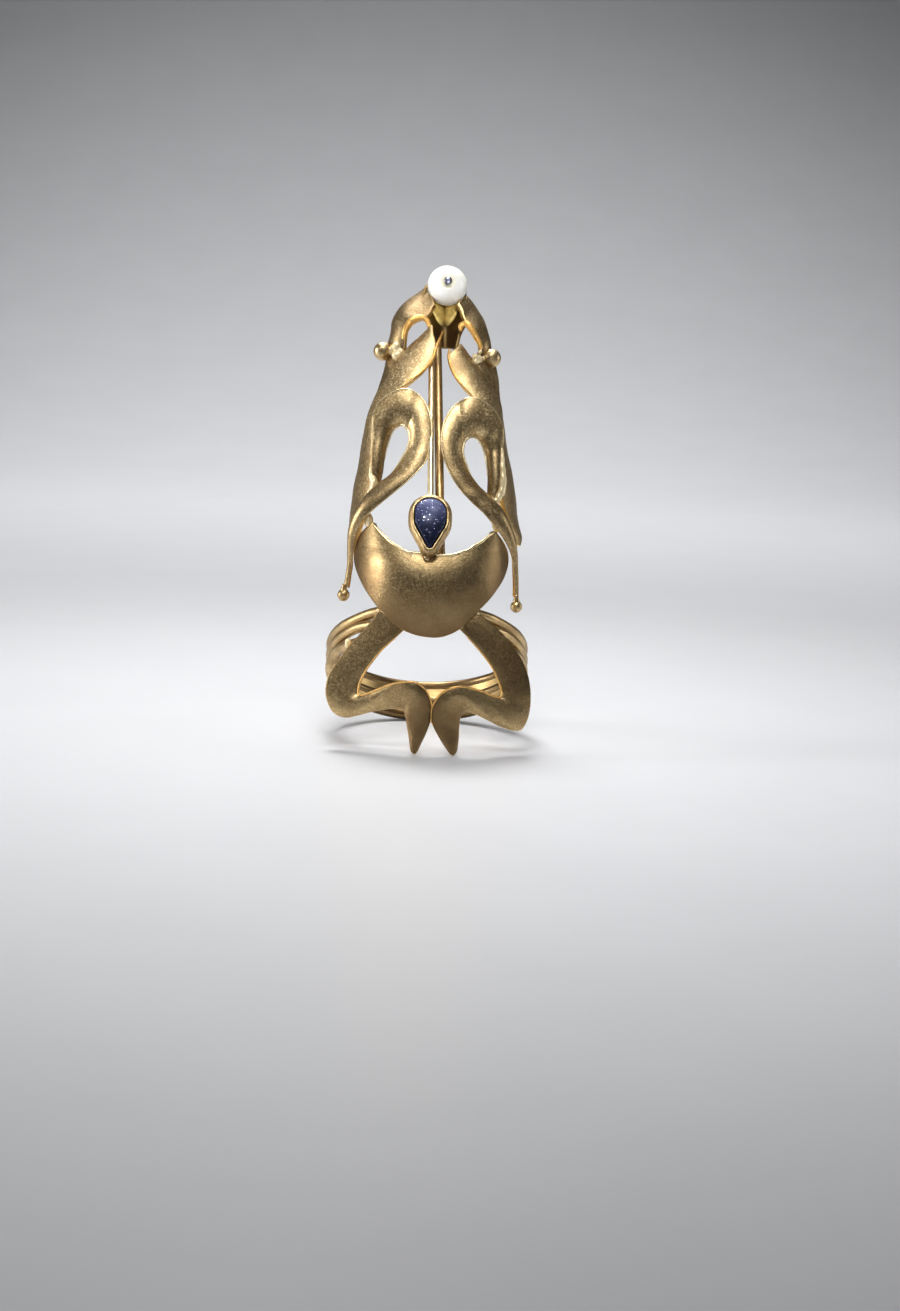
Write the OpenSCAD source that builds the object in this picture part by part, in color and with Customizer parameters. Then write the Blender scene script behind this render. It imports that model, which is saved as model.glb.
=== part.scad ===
// Nail ring: a fingertip ring of soldered gold sheet and wire, with a pearl and a pear-shaped stone.
// It stands on its two claw tips and on the back of its band. X runs to its right, Y to its back and Z up.
// Lengths are in millimetres. The tables measure Y from the groove between the claws.

/* [Sheet and wire] */
// Thickness of the gold sheet
sheet = 0.7; // [0.6:0.05:0.8]
// Thickness of the sheet of the arms and claws
arm_sheet = 0.75; // [0.65:0.05:0.9]
// How far the ribbons are domed, as a part of half their width
ribbon_crown = 0.28; // [0.2:0.02:0.34]

/* [Band] */
// Radius of the wires' centre line
band_r = 10; // [9.6:0.1:10.2]
// Slope of the band from front to back, in degrees
band_tilt = 33; // [32:0.5:34]
// Radius of the round wire
wire_r = 0.55; // [0.5:0.05:0.6]
// Distance between wires at the front
wire_pitch_front = 0.9; // [0.8:0.05:1.1]
// Distance between wires at the back
wire_pitch_back = 1.72; // [1.6:0.02:1.8]

/* [Leaning front] */
// Slope of the upper front: this much to the back for each unit up
front_slope = 0.56; // [0.5:0.02:0.6]
// Height where the front starts to lean
front_bend_z = 19; // [17:0.5:20]

/* [Pearl] */
// Radius of the pearl
pearl_r = 2.1; // [1.9:0.05:2.15]
// Radius of the pin through the pearl
pin_r = 0.25; // [0.2:0.05:0.3]
// Slope of the pin, front end up, in degrees
pin_tilt = 12; // [6:1:15]

/* [Stone] */
// Width of the stone
stone_w = 3.05; // [2.9:0.05:3.2]
// Length of the stone
stone_l = 5.2; // [5:0.1:5.3]
// Length of the straight sides between the stone's round head and its taper
stone_belly = 0.7; // [0.5:0.1:0.9]
// Wall of the cup around the stone
bezel_wall = 0.6; // [0.45:0.05:0.65]
// Depth of the cup
bezel_h = 1.5; // [1.3:0.1:1.7]

/* [Hand-made differences] */
// How far the pearl and the slot below it sit to the right
sway = 0.8; // [0.5:0.1:0.9]
// How much higher the left loop sits than the right one
loop_step = 0.6; // [0:0.1:0.8]

/* [Balls and rods] */
// Radius of the ball beads beside the hood
bead_r = 1.05; // [0.95:0.05:1.1]
// Radius of the drops at the ends of the tails
drop_r = 0.62; // [0.5:0.02:0.7]
// Radius of the rod to the cup
front_rod_r = 0.32; // [0.3:0.01:0.4]
// Radius of the rod behind the crescent
rear_rod_r = 0.43; // [0.4:0.01:0.52]

/* [Hidden] */

// Running clearance between separate pieces
gap = 0.06;
// Most forward and most backward places of the ring, which set its middle
front_end_y = -1.02;
back_end_y = 22.3;
middle_y = (front_end_y + back_end_y) / 2;

// Front line of the ring at height z: upright below, leaning back above
front_y = 1.9;
bend_soft = 2;
function front_at(z) =
    let (up = z - front_bend_z)
    front_y + front_slope * (up + sqrt(up * up + bend_soft * bend_soft)) / 2;

// Outline of the crescent's right half from its tip down to the middle
// columns: x, z of the lower edge, x, z of the upper edge
crescent_rows = [
    [6.35, 21.75, 6.15, 22.00],
    [7.15, 20.30, 5.45, 21.20],
    [7.45, 18.60, 4.70, 20.65],
    [7.20, 16.90, 3.60, 20.15],
    [6.50, 15.45, 2.40, 19.75],
    [4.95, 13.85, 1.40, 19.50],
    [2.50, 12.20, 0.55, 19.45],
    [0.00, 11.55, 0.00, 19.00]];
crescent_half_w = 8.6;
crescent_depth = 9;
crescent_dome = 0.45;

// Each arm from the crescent to the claw, the right one and the left one as mirrored
// columns: outer edge x, z, inner edge x, z, outer edge y, inner edge y
right_arm_rows = [
    [4.40, 14.70, 2.30, 12.90, 3.20, 2.60],
    [5.30, 13.75, 2.85, 12.20, 3.00, 2.30],
    [6.90, 12.60, 4.20, 11.30, 2.80, 2.10],
    [8.35, 11.10, 5.45, 10.05, 2.60, 1.90],
    [9.50, 9.20, 6.35, 8.40, 2.40, 1.80],
    [10.15, 7.20, 6.95, 6.80, 2.20, 1.70],
    [10.30, 5.20, 7.10, 5.85, 1.95, 1.55],
    [9.95, 3.40, 6.90, 5.65, 1.75, 1.45],
    [9.15, 2.40, 6.50, 5.90, 1.55, 1.25],
    [7.90, 2.95, 5.90, 6.25, 1.30, 1.00],
    [6.20, 3.75, 4.90, 6.75, 0.90, 0.55],
    [4.60, 4.30, 3.75, 6.95, 0.40, 0.05],
    [3.30, 4.45, 2.70, 6.95, -0.05, -0.40]];
left_arm_rows = [
    [4.60, 14.50, 2.20, 12.70, 3.20, 2.60],
    [5.40, 13.60, 2.90, 11.90, 3.00, 2.30],
    [7.10, 12.20, 4.10, 10.50, 2.80, 2.10],
    [8.70, 10.40, 5.40, 8.90, 2.60, 1.90],
    [9.80, 8.40, 6.25, 7.40, 2.40, 1.80],
    [10.28, 6.40, 6.85, 6.05, 2.20, 1.70],
    [10.15, 4.80, 7.00, 5.40, 1.95, 1.55],
    [9.60, 3.60, 6.70, 5.40, 1.75, 1.45],
    [8.60, 3.15, 6.20, 5.65, 1.55, 1.25],
    [7.20, 3.40, 5.50, 6.00, 1.30, 1.00],
    [5.60, 3.75, 4.60, 6.50, 0.90, 0.55],
    [4.10, 4.20, 3.45, 6.95, 0.40, 0.05],
    [2.95, 4.40, 2.45, 7.10, -0.05, -0.40]];
arm_bulge = 0.18;

// Each claw from its top to its tip, the right one and the left one as mirrored
// columns: z, outer x, inner x, outer y, crest y, inner y
right_claw_rows = [
    [7.00, 3.05, 1.85, -0.15, -0.55, -0.35],
    [6.50, 3.45, 1.00, -0.05, -0.90, -0.25],
    [5.40, 3.55, 0.25, 0.05, -1.02, 0.05],
    [4.40, 3.35, 0.25, 0.05, -1.00, 0.05],
    [3.00, 3.10, 0.60, -0.10, -0.90, -0.10],
    [1.70, 3.00, 1.00, -0.20, -0.70, -0.25],
    [0.60, 2.80, 1.60, -0.30, -0.50, -0.35],
    [-0.10, 2.60, 2.20, -0.30, -0.40, -0.35]];
left_claw_rows = [
    [7.10, 2.80, 1.70, -0.15, -0.55, -0.35],
    [6.60, 3.15, 0.85, -0.05, -0.90, -0.25],
    [5.40, 3.05, -0.40, 0.05, -1.02, 0.05],
    [4.40, 2.60, -0.40, 0.05, -1.00, 0.05],
    [3.00, 2.30, -0.20, -0.10, -0.90, -0.10],
    [1.70, 2.10, 0.10, -0.20, -0.70, -0.25],
    [0.60, 1.60, 0.70, -0.30, -0.50, -0.35],
    [-0.10, 1.30, 1.00, -0.30, -0.40, -0.35]];
claw_crest = 0.45;

// Neck and side wall of the right half, one ribbon from under the pearl to its free lower end
// columns: x, y, z, width, side turn of its face and upward turn of its face in degrees
neck_rows = [
    [1.45, 15.90, 42.30, 0.50, 5, 30],
    [1.35, 15.60, 40.60, 2.00, 12, 30],
    [2.00, 15.15, 39.35, 2.75, 20, 30],
    [3.00, 14.80, 38.05, 3.05, 26, 30],
    [4.00, 14.40, 36.95, 3.10, 36, 26],
    [5.20, 13.85, 35.60, 3.10, 46, 22],
    [6.25, 13.15, 33.90, 3.10, 58, 18],
    [7.05, 12.45, 31.40, 3.40, 66, 14],
    [7.60, 11.85, 28.20, 3.70, 68, 12],
    [8.05, 11.30, 25.00, 3.70, 69, 10],
    [8.40, 10.80, 21.80, 3.00, 70, 8],
    [8.60, 10.20, 19.20, 1.80, 70, 6],
    [8.70, 9.60, 17.60, 0.60, 70, 6]];

// Loop and tail of the right half, one ribbon
// columns: x, y, z, width, side turn of its face and upward turn of its face in degrees
loop_rows = [
    [5.85, 8.50, 24.60, 1.40, 40, 20],
    [6.00, 9.05, 26.60, 1.70, 42, 24],
    [5.95, 9.85, 29.20, 1.95, 42, 26],
    [5.65, 10.55, 31.20, 2.40, 36, 28],
    [4.90, 10.85, 32.90, 3.15, 26, 30],
    [3.50, 10.70, 33.65, 3.85, 10, 30],
    [2.15, 10.05, 32.90, 3.30, -6, 30],
    [1.60, 9.15, 31.20, 2.45, -12, 28],
    [1.85, 8.20, 29.30, 2.20, -6, 26],
    [2.80, 7.45, 27.70, 2.10, 6, 24],
    [4.05, 6.95, 26.40, 2.05, 18, 22],
    [5.40, 6.85, 25.00, 2.00, 30, 20],
    [6.55, 7.10, 23.35, 1.75, 42, 16],
    [7.45, 7.60, 21.40, 1.35, 52, 12],
    [8.05, 8.00, 19.20, 0.95, 58, 8],
    [8.45, 8.20, 17.00, 0.65, 60, 6],
    [8.75, 8.28, 14.90, 0.50, 60, 6]];
// Heights between which the left and right loops differ more and more
loop_same_z = 23;
loop_apart_z = 29;
drop_x = 8.8;
drop_y = 8.3;
drop_z = 14.35;

// Wings of the hood from the pearl down to the walls, the right one and the left one as mirrored
// columns: outer edge x, z, inner edge x, z, outer edge y, inner edge y
right_wing_rows = [
    [2.60, 46.00, 1.95, 44.95, 20.80, 17.45],
    [3.40, 45.15, 2.50, 44.05, 20.30, 17.00],
    [4.30, 43.95, 2.95, 42.75, 19.70, 16.40],
    [5.00, 42.70, 3.70, 41.85, 19.00, 16.00],
    [5.45, 41.20, 4.45, 40.60, 18.20, 15.80],
    [5.85, 39.55, 4.30, 39.15, 17.40, 15.50],
    [6.30, 37.85, 4.70, 37.60, 16.50, 14.95],
    [6.60, 35.80, 5.75, 35.70, 15.50, 14.20],
    [6.95, 33.50, 6.65, 33.40, 14.20, 13.65]];
left_wing_rows = [
    [1.30, 46.45, 0.80, 44.50, 20.60, 17.25],
    [3.20, 45.00, 1.20, 43.65, 19.95, 16.85],
    [4.40, 43.70, 1.85, 43.15, 19.30, 16.50],
    [4.95, 42.35, 2.85, 42.60, 18.70, 16.20],
    [5.10, 40.95, 3.50, 41.50, 18.10, 16.00],
    [5.30, 39.45, 3.60, 39.90, 17.40, 15.55],
    [5.50, 37.80, 4.20, 37.95, 16.60, 15.00],
    [5.95, 36.10, 5.20, 36.20, 15.70, 14.40],
    [6.75, 33.80, 6.45, 33.85, 14.30, 13.70]];
wing_crown = 0.2;

// Pocket of the hood behind the slot, from its lower edge up
// columns: edge z, left half width, right half width, edge y, seam y, seam z
pocket_rows = [
    [40.05, 1.35, 1.30, 16.05, 18.80, 39.95],
    [41.50, 1.80, 1.60, 16.65, 19.80, 41.70],
    [42.65, 2.20, 2.15, 17.20, 20.40, 43.00],
    [43.95, 2.65, 2.30, 17.70, 20.90, 44.40],
    [45.15, 2.65, 2.20, 18.30, 21.30, 45.80],
    [46.25, 2.40, 1.90, 19.00, 21.50, 46.90]];
pocket_sheet = 0.45;

// Where the pearl, the beads, the rods and the stone sit
pearl_y = 18.8;
pearl_z = 46.5;
pin_front = 2.4;
pin_head_r = 0.38;
pin_head_h = 0.25;
pin_back = 3.55;
bead_at = [5.65, 16.85, 39.3];
bead_stem_at = [4.6, 15.6, 39.1];
bead_stem_r = 0.5;
front_rod_top = [-0.70, 15.9, 40.7];
front_rod_foot = [-0.40, 4.85, 25.25];
rear_rod_top = [0.15, 19.2, 41.4];
rear_rod_foot = [0.75, 3.0, 17.6];
// Solder between each crescent tip and the tail in front of it
tip_solder_from = [6.15, 6.9, 21.5];
tip_solder_to = [6.75, 7.6, 23.2];
tip_solder_r = 0.4;
stone_x = -0.4;
stone_y = 3.8;
stone_z = 23.45;
stone_lean = 27;
bezel_floor = 0.4;
stone_top = 1.5;
stone_dome_r = 5;

// Wires of the band from the top one down
// columns: angle from the front where the wire's arc starts, end on the sheet x, y, z
wire_rows = [
    [40, 4.6, 3.6, 13.75],
    [50, 5.7, 3.2, 12.3],
    [66, 7.9, 3.0, 10.4]];
band_y = 11.8;
band_z = 8.8;
strap_angle = 44.5;
strap_t = 0.66;

// Numbers of steps that round the shapes
ball_facets = 16;
small_facets = 10;
wire_sides = 8;
wire_steps = 26;
arc_nodes = 12;

function mix(a, b, t) = a + (b - a) * t;
function unit(v) = v / norm(v);

// Smooth curve through the rows of a table, at place s counted in rows
function along_rows(rows, s) =
    let (last = len(rows) - 1)
    let (i = min(last - 1, max(0, floor(s))))
    let (t = s - i)
    let (a = rows[max(0, i - 1)], b = rows[i], c = rows[i + 1], d = rows[min(last, i + 2)])
    b + t * (c - a + t * (2 * a - 5 * b + 4 * c - d + t * (3 * b - a - 3 * c + d))) / 2;

// A closed sheet below a grid of outer points; rows run up and columns to the right as seen from outside
module sheet_on(grid, thick) {
    n = len(grid);
    m = len(grid[0]);
    function outward(i, j) =
        unit(cross(grid[i][min(m - 1, j + 1)] - grid[i][max(0, j - 1)],
            grid[min(n - 1, i + 1)][j] - grid[max(0, i - 1)][j]));
    function id(side, i, j) = side * n * m + i * m + j;
    outer = [for (i = [0:n - 1], j = [0:m - 1]) grid[i][j]];
    inner = [for (i = [0:n - 1], j = [0:m - 1]) grid[i][j] - thick * outward(i, j)];
    faces = [
        for (i = [0:n - 2], j = [0:m - 2]) each [
            [id(0, i, j), id(0, i + 1, j), id(0, i + 1, j + 1)],
            [id(0, i, j), id(0, i + 1, j + 1), id(0, i, j + 1)],
            [id(1, i, j), id(1, i + 1, j + 1), id(1, i + 1, j)],
            [id(1, i, j), id(1, i, j + 1), id(1, i + 1, j + 1)]],
        for (i = [0:n - 2]) each [
            [id(0, i + 1, 0), id(0, i, 0), id(1, i, 0)],
            [id(0, i + 1, 0), id(1, i, 0), id(1, i + 1, 0)],
            [id(0, i, m - 1), id(0, i + 1, m - 1), id(1, i + 1, m - 1)],
            [id(0, i, m - 1), id(1, i + 1, m - 1), id(1, i, m - 1)]],
        for (j = [0:m - 2]) each [
            [id(0, 0, j), id(0, 0, j + 1), id(1, 0, j + 1)],
            [id(0, 0, j), id(1, 0, j + 1), id(1, 0, j)],
            [id(0, n - 1, j + 1), id(0, n - 1, j), id(1, n - 1, j)],
            [id(0, n - 1, j + 1), id(1, n - 1, j), id(1, n - 1, j + 1)]]];
    polyhedron(concat(outer, inner), faces);
}

// A domed ribbon of sheet along the rows of a table
module ribbon(rows, steps, columns, thick, crown) {
    last = len(rows) - 1;
    near = 0.05;
    grid = [for (k = [0:steps])
        let (s = last * k / steps)
        let (row = along_rows(rows, s))
        let (before = along_rows(rows, max(0, s - near)), after = along_rows(rows, min(last, s + near)))
        let (ahead = unit([for (c = [0:2]) after[c] - before[c]]))
        let (turn = row[4], up = row[5])
        let (facing = [sin(turn) * cos(up), -cos(turn) * cos(up), sin(up)])
        let (out = unit(facing - ahead * (ahead * facing)))
        let (across = cross(ahead, out))
        let (half = row[3] / 2)
        [for (j = [0:columns])
            let (u = 2 * j / columns - 1)
            [row[0], row[1], row[2]] + across * u * half - out * crown * half * u * u]];
    sheet_on(grid, thick);
}

// A rod with round ends
module rod(from, to, r) {
    hull() {
        translate(from) sphere(r, $fn = small_facets);
        translate(to) sphere(r, $fn = small_facets);
    }
}

// A piece drawn for the right side, mirrored where side is below 0
module on_side(side) {
    if (side < 0) mirror([1, 0, 0]) children();
    else children();
}

// Point of the crescent: t runs from its left tip, -1, to its right tip, 1, and s from lower to upper edge
function crescent_point(t, s) =
    let (row = along_rows(crescent_rows, (1 - abs(t)) * (len(crescent_rows) - 1)))
    let (x = sign(t) * mix(row[0], row[2], s), z = mix(row[1], row[3], s))
    let (flat = 0.6 + 0.4 * min(1, max(0, (z - 12) / 8)))
    let (side = crescent_depth * flat * (1 - sqrt(1 - pow(x / crescent_half_w, 2))))
    [x, front_at(z) + side - crescent_dome * (1 - pow(2 * s - 1, 2)) * (1 - t * t), z];

module crescent() {
    across = 22;
    up = 6;
    sheet_on([for (i = [0:up]) [for (j = [0:across]) crescent_point(2 * j / across - 1, i / up)]], sheet);
}

module arm(rows) {
    steps = 16;
    columns = 3;
    sheet_on([for (k = [0:steps])
        let (row = along_rows(rows, (len(rows) - 1) * k / steps))
        [for (j = [0:columns])
            let (v = j / columns)
            [mix(row[0], row[2], v), mix(row[4], row[5], v) - arm_bulge * (1 - pow(2 * v - 1, 2)),
                mix(row[1], row[3], v)]]], arm_sheet);
}

module claw(rows) {
    steps = 8;
    columns = 6;
    sheet_on([for (k = [0:steps])
        let (row = along_rows(rows, (len(rows) - 1) * k / steps))
        [for (j = [0:columns])
            let (v = j / columns)
            let (edge_y = v < claw_crest ? row[3] : row[5])
            let (away = v < claw_crest ? 1 - v / claw_crest : (v - claw_crest) / (1 - claw_crest))
            [mix(row[1], row[2], v), mix(row[4], edge_y, away * away), row[0]]]], arm_sheet);
}

// The loop's rows with the right one lower and the left one higher, by half the step
function loop_on(side) = [for (row = loop_rows)
    let (part = min(1, max(0, (row[2] - loop_same_z) / (loop_apart_z - loop_same_z))))
    [row[0], row[1], row[2] - side * part * loop_step / 2, row[3], row[4], row[5]]];

// Place on wire k of the band at an angle from the front, right side positive
function wire_point(k, angle) =
    let (pitch = mix(wire_pitch_front, wire_pitch_back, (1 - cos(angle)) / 2))
    let (ahead = band_r * cos(angle))
    [band_r * sin(angle),
        band_y - ahead * cos(band_tilt) - k * pitch * sin(band_tilt),
        band_z + ahead * sin(band_tilt) - k * pitch * cos(band_tilt)];

// One wire of the band as a round tube; its ends lie on the sheet in front
module band_wire(k) {
    start = wire_rows[k][0];
    landing = [for (c = [1:3]) wire_rows[k][c]];
    arc = [for (i = [0:arc_nodes]) wire_point(k, start + (360 - 2 * start) * i / arc_nodes)];
    nodes = concat([landing], arc, [[-landing[0], landing[1], landing[2]]]);
    path = [for (i = [0:wire_steps]) along_rows(nodes, (len(nodes) - 1) * i / wire_steps)];
    n = len(path);
    axle = [0, sin(band_tilt), cos(band_tilt)];
    rings = [for (i = [0:n - 1])
        let (ahead = unit(path[min(n - 1, i + 1)] - path[max(0, i - 1)]))
        let (up = unit(axle - ahead * (ahead * axle)))
        let (side = cross(ahead, up))
        for (a = [0:wire_sides - 1])
            path[i] + wire_r * (up * cos(360 * a / wire_sides) + side * sin(360 * a / wire_sides))];
    faces = [
        [for (a = [0:wire_sides - 1]) a],
        [for (a = [0:wire_sides - 1]) n * wire_sides - 1 - a],
        for (i = [0:n - 2], a = [0:wire_sides - 1])
            let (b = (a + 1) % wire_sides, here = i * wire_sides, there = here + wire_sides)
            each [[here + a, there + a, there + b], [here + a, there + b, here + b]]];
    polyhedron(rings, faces);
}

// Plain strap that joins the wires at the back
module band_strap() {
    steps = 11;
    levels = 4;
    push = strap_t / 2;
    sheet_on([for (i = [0:levels]) [for (j = [0:steps])
        let (angle = 180 - strap_angle + 2 * strap_angle * j / steps)
        let (p = wire_point(2 * (1 - i / levels), angle))
        p + push * [sin(angle), -cos(angle) * cos(band_tilt), cos(angle) * sin(band_tilt)]]], strap_t);
}

// A wing of the hood, domed between its two edges
module wing(rows) {
    steps = 12;
    columns = 3;
    sheet_on([for (k = [0:steps])
        let (row = along_rows(rows, (len(rows) - 1) * k / steps))
        let (outer = [row[0], row[4], row[1]], inner = [row[2], row[5], row[3]])
        let (across = outer - inner)
        let (out = unit([across[1], -across[0], 0]))
        [for (j = [0:columns])
            let (u = 1 - 2 * j / columns)
            mix(inner, outer, (1 + u) / 2) + out * wing_crown * norm(across) * (1 - u * u)]], sheet);
}

// The pocket is round at the back, so its columns run from its right edge to its left one
module pocket() {
    around = 10;
    up = 5;
    sheet_on([for (i = [0:up])
        let (row = along_rows(pocket_rows, (len(pocket_rows) - 1) * i / up))
        [for (j = [0:around])
            let (u = 1 - 2 * j / around)
            [sway + sin(90 * u) * (u < 0 ? row[1] : row[2]),
                mix(row[3], row[4], cos(90 * u)), mix(row[5], row[0], u * u)]]], pocket_sheet);
}

// Outline of the stone and of its cup: a round head with a point below, grown by a wall
module pear_outline(grow) {
    head_r = stone_w / 2;
    point_r = 0.2;
    hull() {
        circle(head_r + grow, $fn = 36);
        translate([0, -stone_belly]) circle(head_r + grow, $fn = 36);
        translate([0, head_r + point_r - stone_l]) circle(point_r + grow, $fn = 12);
    }
}

// Frame of the stone: its face looks to the front and a little up
module at_stone() {
    translate([stone_x, stone_y, stone_z]) rotate([90 - stone_lean, 0, 0]) children();
}

module bezel() {
    at_stone() translate([0, 0, -bezel_h / 2]) difference() {
        linear_extrude(bezel_h) pear_outline(gap + bezel_wall);
        translate([0, 0, bezel_floor]) linear_extrude(bezel_h) pear_outline(gap);
    }
}

module pin_axis() {
    translate([sway, pearl_y, pearl_z]) rotate([90 - pin_tilt, 0, 0]) children();
}

module gold() {
    crescent();
    for (side = [-1, 1]) on_side(side) {
        arm(side < 0 ? left_arm_rows : right_arm_rows);
        claw(side < 0 ? left_claw_rows : right_claw_rows);
        ribbon(neck_rows, 22, 3, sheet, ribbon_crown);
        ribbon(loop_on(side), 30, 3, sheet, ribbon_crown);
        wing(side < 0 ? left_wing_rows : right_wing_rows);
        rod(bead_at, bead_stem_at, bead_stem_r);
        rod(tip_solder_from, tip_solder_to, tip_solder_r);
        translate(bead_at) sphere(bead_r, $fn = ball_facets);
        translate([drop_x, drop_y, drop_z]) sphere(drop_r, $fn = small_facets);
    }
    pocket();
    rod(front_rod_top, front_rod_foot, front_rod_r);
    rod(rear_rod_top, rear_rod_foot, rear_rod_r);
    bezel();
    for (k = [0:2]) band_wire(k);
    band_strap();
}

// All the soldered gold, cut flat where it stands, hollowed for the pearl and drilled for the pin
module ring_frame() {
    reach = 60;
    color("goldenrod") translate([0, -middle_y, 0]) difference() {
        gold();
        translate([-reach / 2, -reach / 2, -reach]) cube(reach);
        translate([sway, pearl_y, pearl_z]) sphere(pearl_r + 2 * gap, $fn = 32);
        pin_axis() translate([0, 0, -reach / 4]) cylinder(r = pin_r + gap, h = reach / 4, $fn = small_facets);
    }
}

module pearl() {
    color("ivory") translate([0, -middle_y, 0]) difference() {
        translate([sway, pearl_y, pearl_z]) sphere(pearl_r, $fn = 64);
        pin_axis() cylinder(r = pin_r + gap, h = 4 * pearl_r, center = true, $fn = 32);
    }
}

module pearl_pin() {
    color("slategray") translate([0, -middle_y, 0]) pin_axis() {
        translate([0, 0, -pin_back]) cylinder(r = pin_r, h = pin_front + pin_back, $fn = 32);
        translate([0, 0, pin_front - pin_head_h]) cylinder(r = pin_head_r, h = pin_head_h, $fn = 32);
    }
}

// A low domed stone in the cup
module pear_stone() {
    color("midnightblue") translate([0, -middle_y, 0]) at_stone() intersection() {
        translate([0, 0, bezel_floor + gap - bezel_h / 2]) linear_extrude(2 * bezel_h) pear_outline(0);
        translate([0, (stone_w - stone_l) / 2, stone_top - stone_dome_r]) sphere(stone_dome_r, $fn = 64);
    }
}

ring_frame();
pearl();
pearl_pin();
pear_stone();
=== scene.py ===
import bpy
import numpy as np
from mathutils import Matrix, Vector


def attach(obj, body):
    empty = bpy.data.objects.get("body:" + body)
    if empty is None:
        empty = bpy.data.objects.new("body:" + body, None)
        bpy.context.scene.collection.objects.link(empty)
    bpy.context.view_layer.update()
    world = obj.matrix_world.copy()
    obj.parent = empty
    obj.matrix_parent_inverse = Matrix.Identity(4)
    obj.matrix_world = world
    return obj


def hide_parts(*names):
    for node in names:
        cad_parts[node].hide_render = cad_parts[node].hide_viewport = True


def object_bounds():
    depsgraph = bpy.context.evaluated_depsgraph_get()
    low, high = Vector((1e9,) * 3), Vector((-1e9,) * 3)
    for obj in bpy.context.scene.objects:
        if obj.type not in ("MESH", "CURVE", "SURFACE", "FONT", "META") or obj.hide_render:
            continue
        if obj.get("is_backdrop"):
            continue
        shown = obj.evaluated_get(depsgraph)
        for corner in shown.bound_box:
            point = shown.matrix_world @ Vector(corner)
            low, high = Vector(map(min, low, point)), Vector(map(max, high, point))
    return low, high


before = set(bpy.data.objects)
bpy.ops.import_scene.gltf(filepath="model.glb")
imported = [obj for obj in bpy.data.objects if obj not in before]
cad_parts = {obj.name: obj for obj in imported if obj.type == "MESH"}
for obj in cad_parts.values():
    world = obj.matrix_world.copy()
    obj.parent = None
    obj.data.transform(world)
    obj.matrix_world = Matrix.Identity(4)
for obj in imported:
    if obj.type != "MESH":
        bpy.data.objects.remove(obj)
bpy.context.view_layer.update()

MM = 0.001
SIDES = (("left", -1), ("right", 1))
rng = np.random.default_rng(11)

# Middle of the whole ring in Y, and how thick and how uneven its sheet is
MIDDLE_Y = 10.64
SHEET = 0.7
LOOP_SHEET = 0.62
ARM_SHEET = 0.75
STRAP_SHEET = 0.66
SHEET_UNEVEN = 0.008

# Front line of the ring: upright below, leaning back above
FRONT_Y = 1.9
FRONT_SLOPE = 0.56
BEND_Z = 19
BEND_SOFT = 2

# Crescent from its left tip to its right tip
# columns: x, z of the lower edge, x, z of the upper edge
CRESCENT = [
    [-6.45, 22.1, -6.2, 22.3],
    [-7.3, 21.05, -5.85, 22],
    [-7.8, 19.75, -5.35, 21.55],
    [-7.9, 18.35, -4.65, 20.95],
    [-7.45, 17.05, -3.85, 20.4],
    [-6.4, 15.4, -3.05, 20],
    [-5, 13.85, -2.3, 19.75],
    [-3.2, 12.35, -1.6, 19.75],
    [-1.6, 11.7, -1, 19.75],
    [-0.3, 11.5, -0.45, 19.75],
    [0.85, 11.5, 0.2, 19.7],
    [1.9, 11.8, 0.95, 19.65],
    [3.1, 12.5, 1.8, 19.65],
    [4.75, 14.15, 2.7, 19.9],
    [6.05, 15.45, 3.55, 20.2],
    [7.3, 17.15, 4.4, 20.7],
    [7.8, 18.5, 5.1, 21.1],
    [7.75, 19.75, 5.65, 21.5],
    [7.15, 20.9, 6, 21.7],
    [6.45, 21.75, 6.2, 21.9]]
# How the crescent curves, and the notch and the waves that its upper edge was cut with
CRESCENT_HALF_W = 8.6
CRESCENT_DEPTH = 9
BELLY = 0.62
NOTCH_X = -0.56
NOTCH_W = 0.24
NOTCH_DEPTH = 0.55
CUT_WAVE = 0.02

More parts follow.
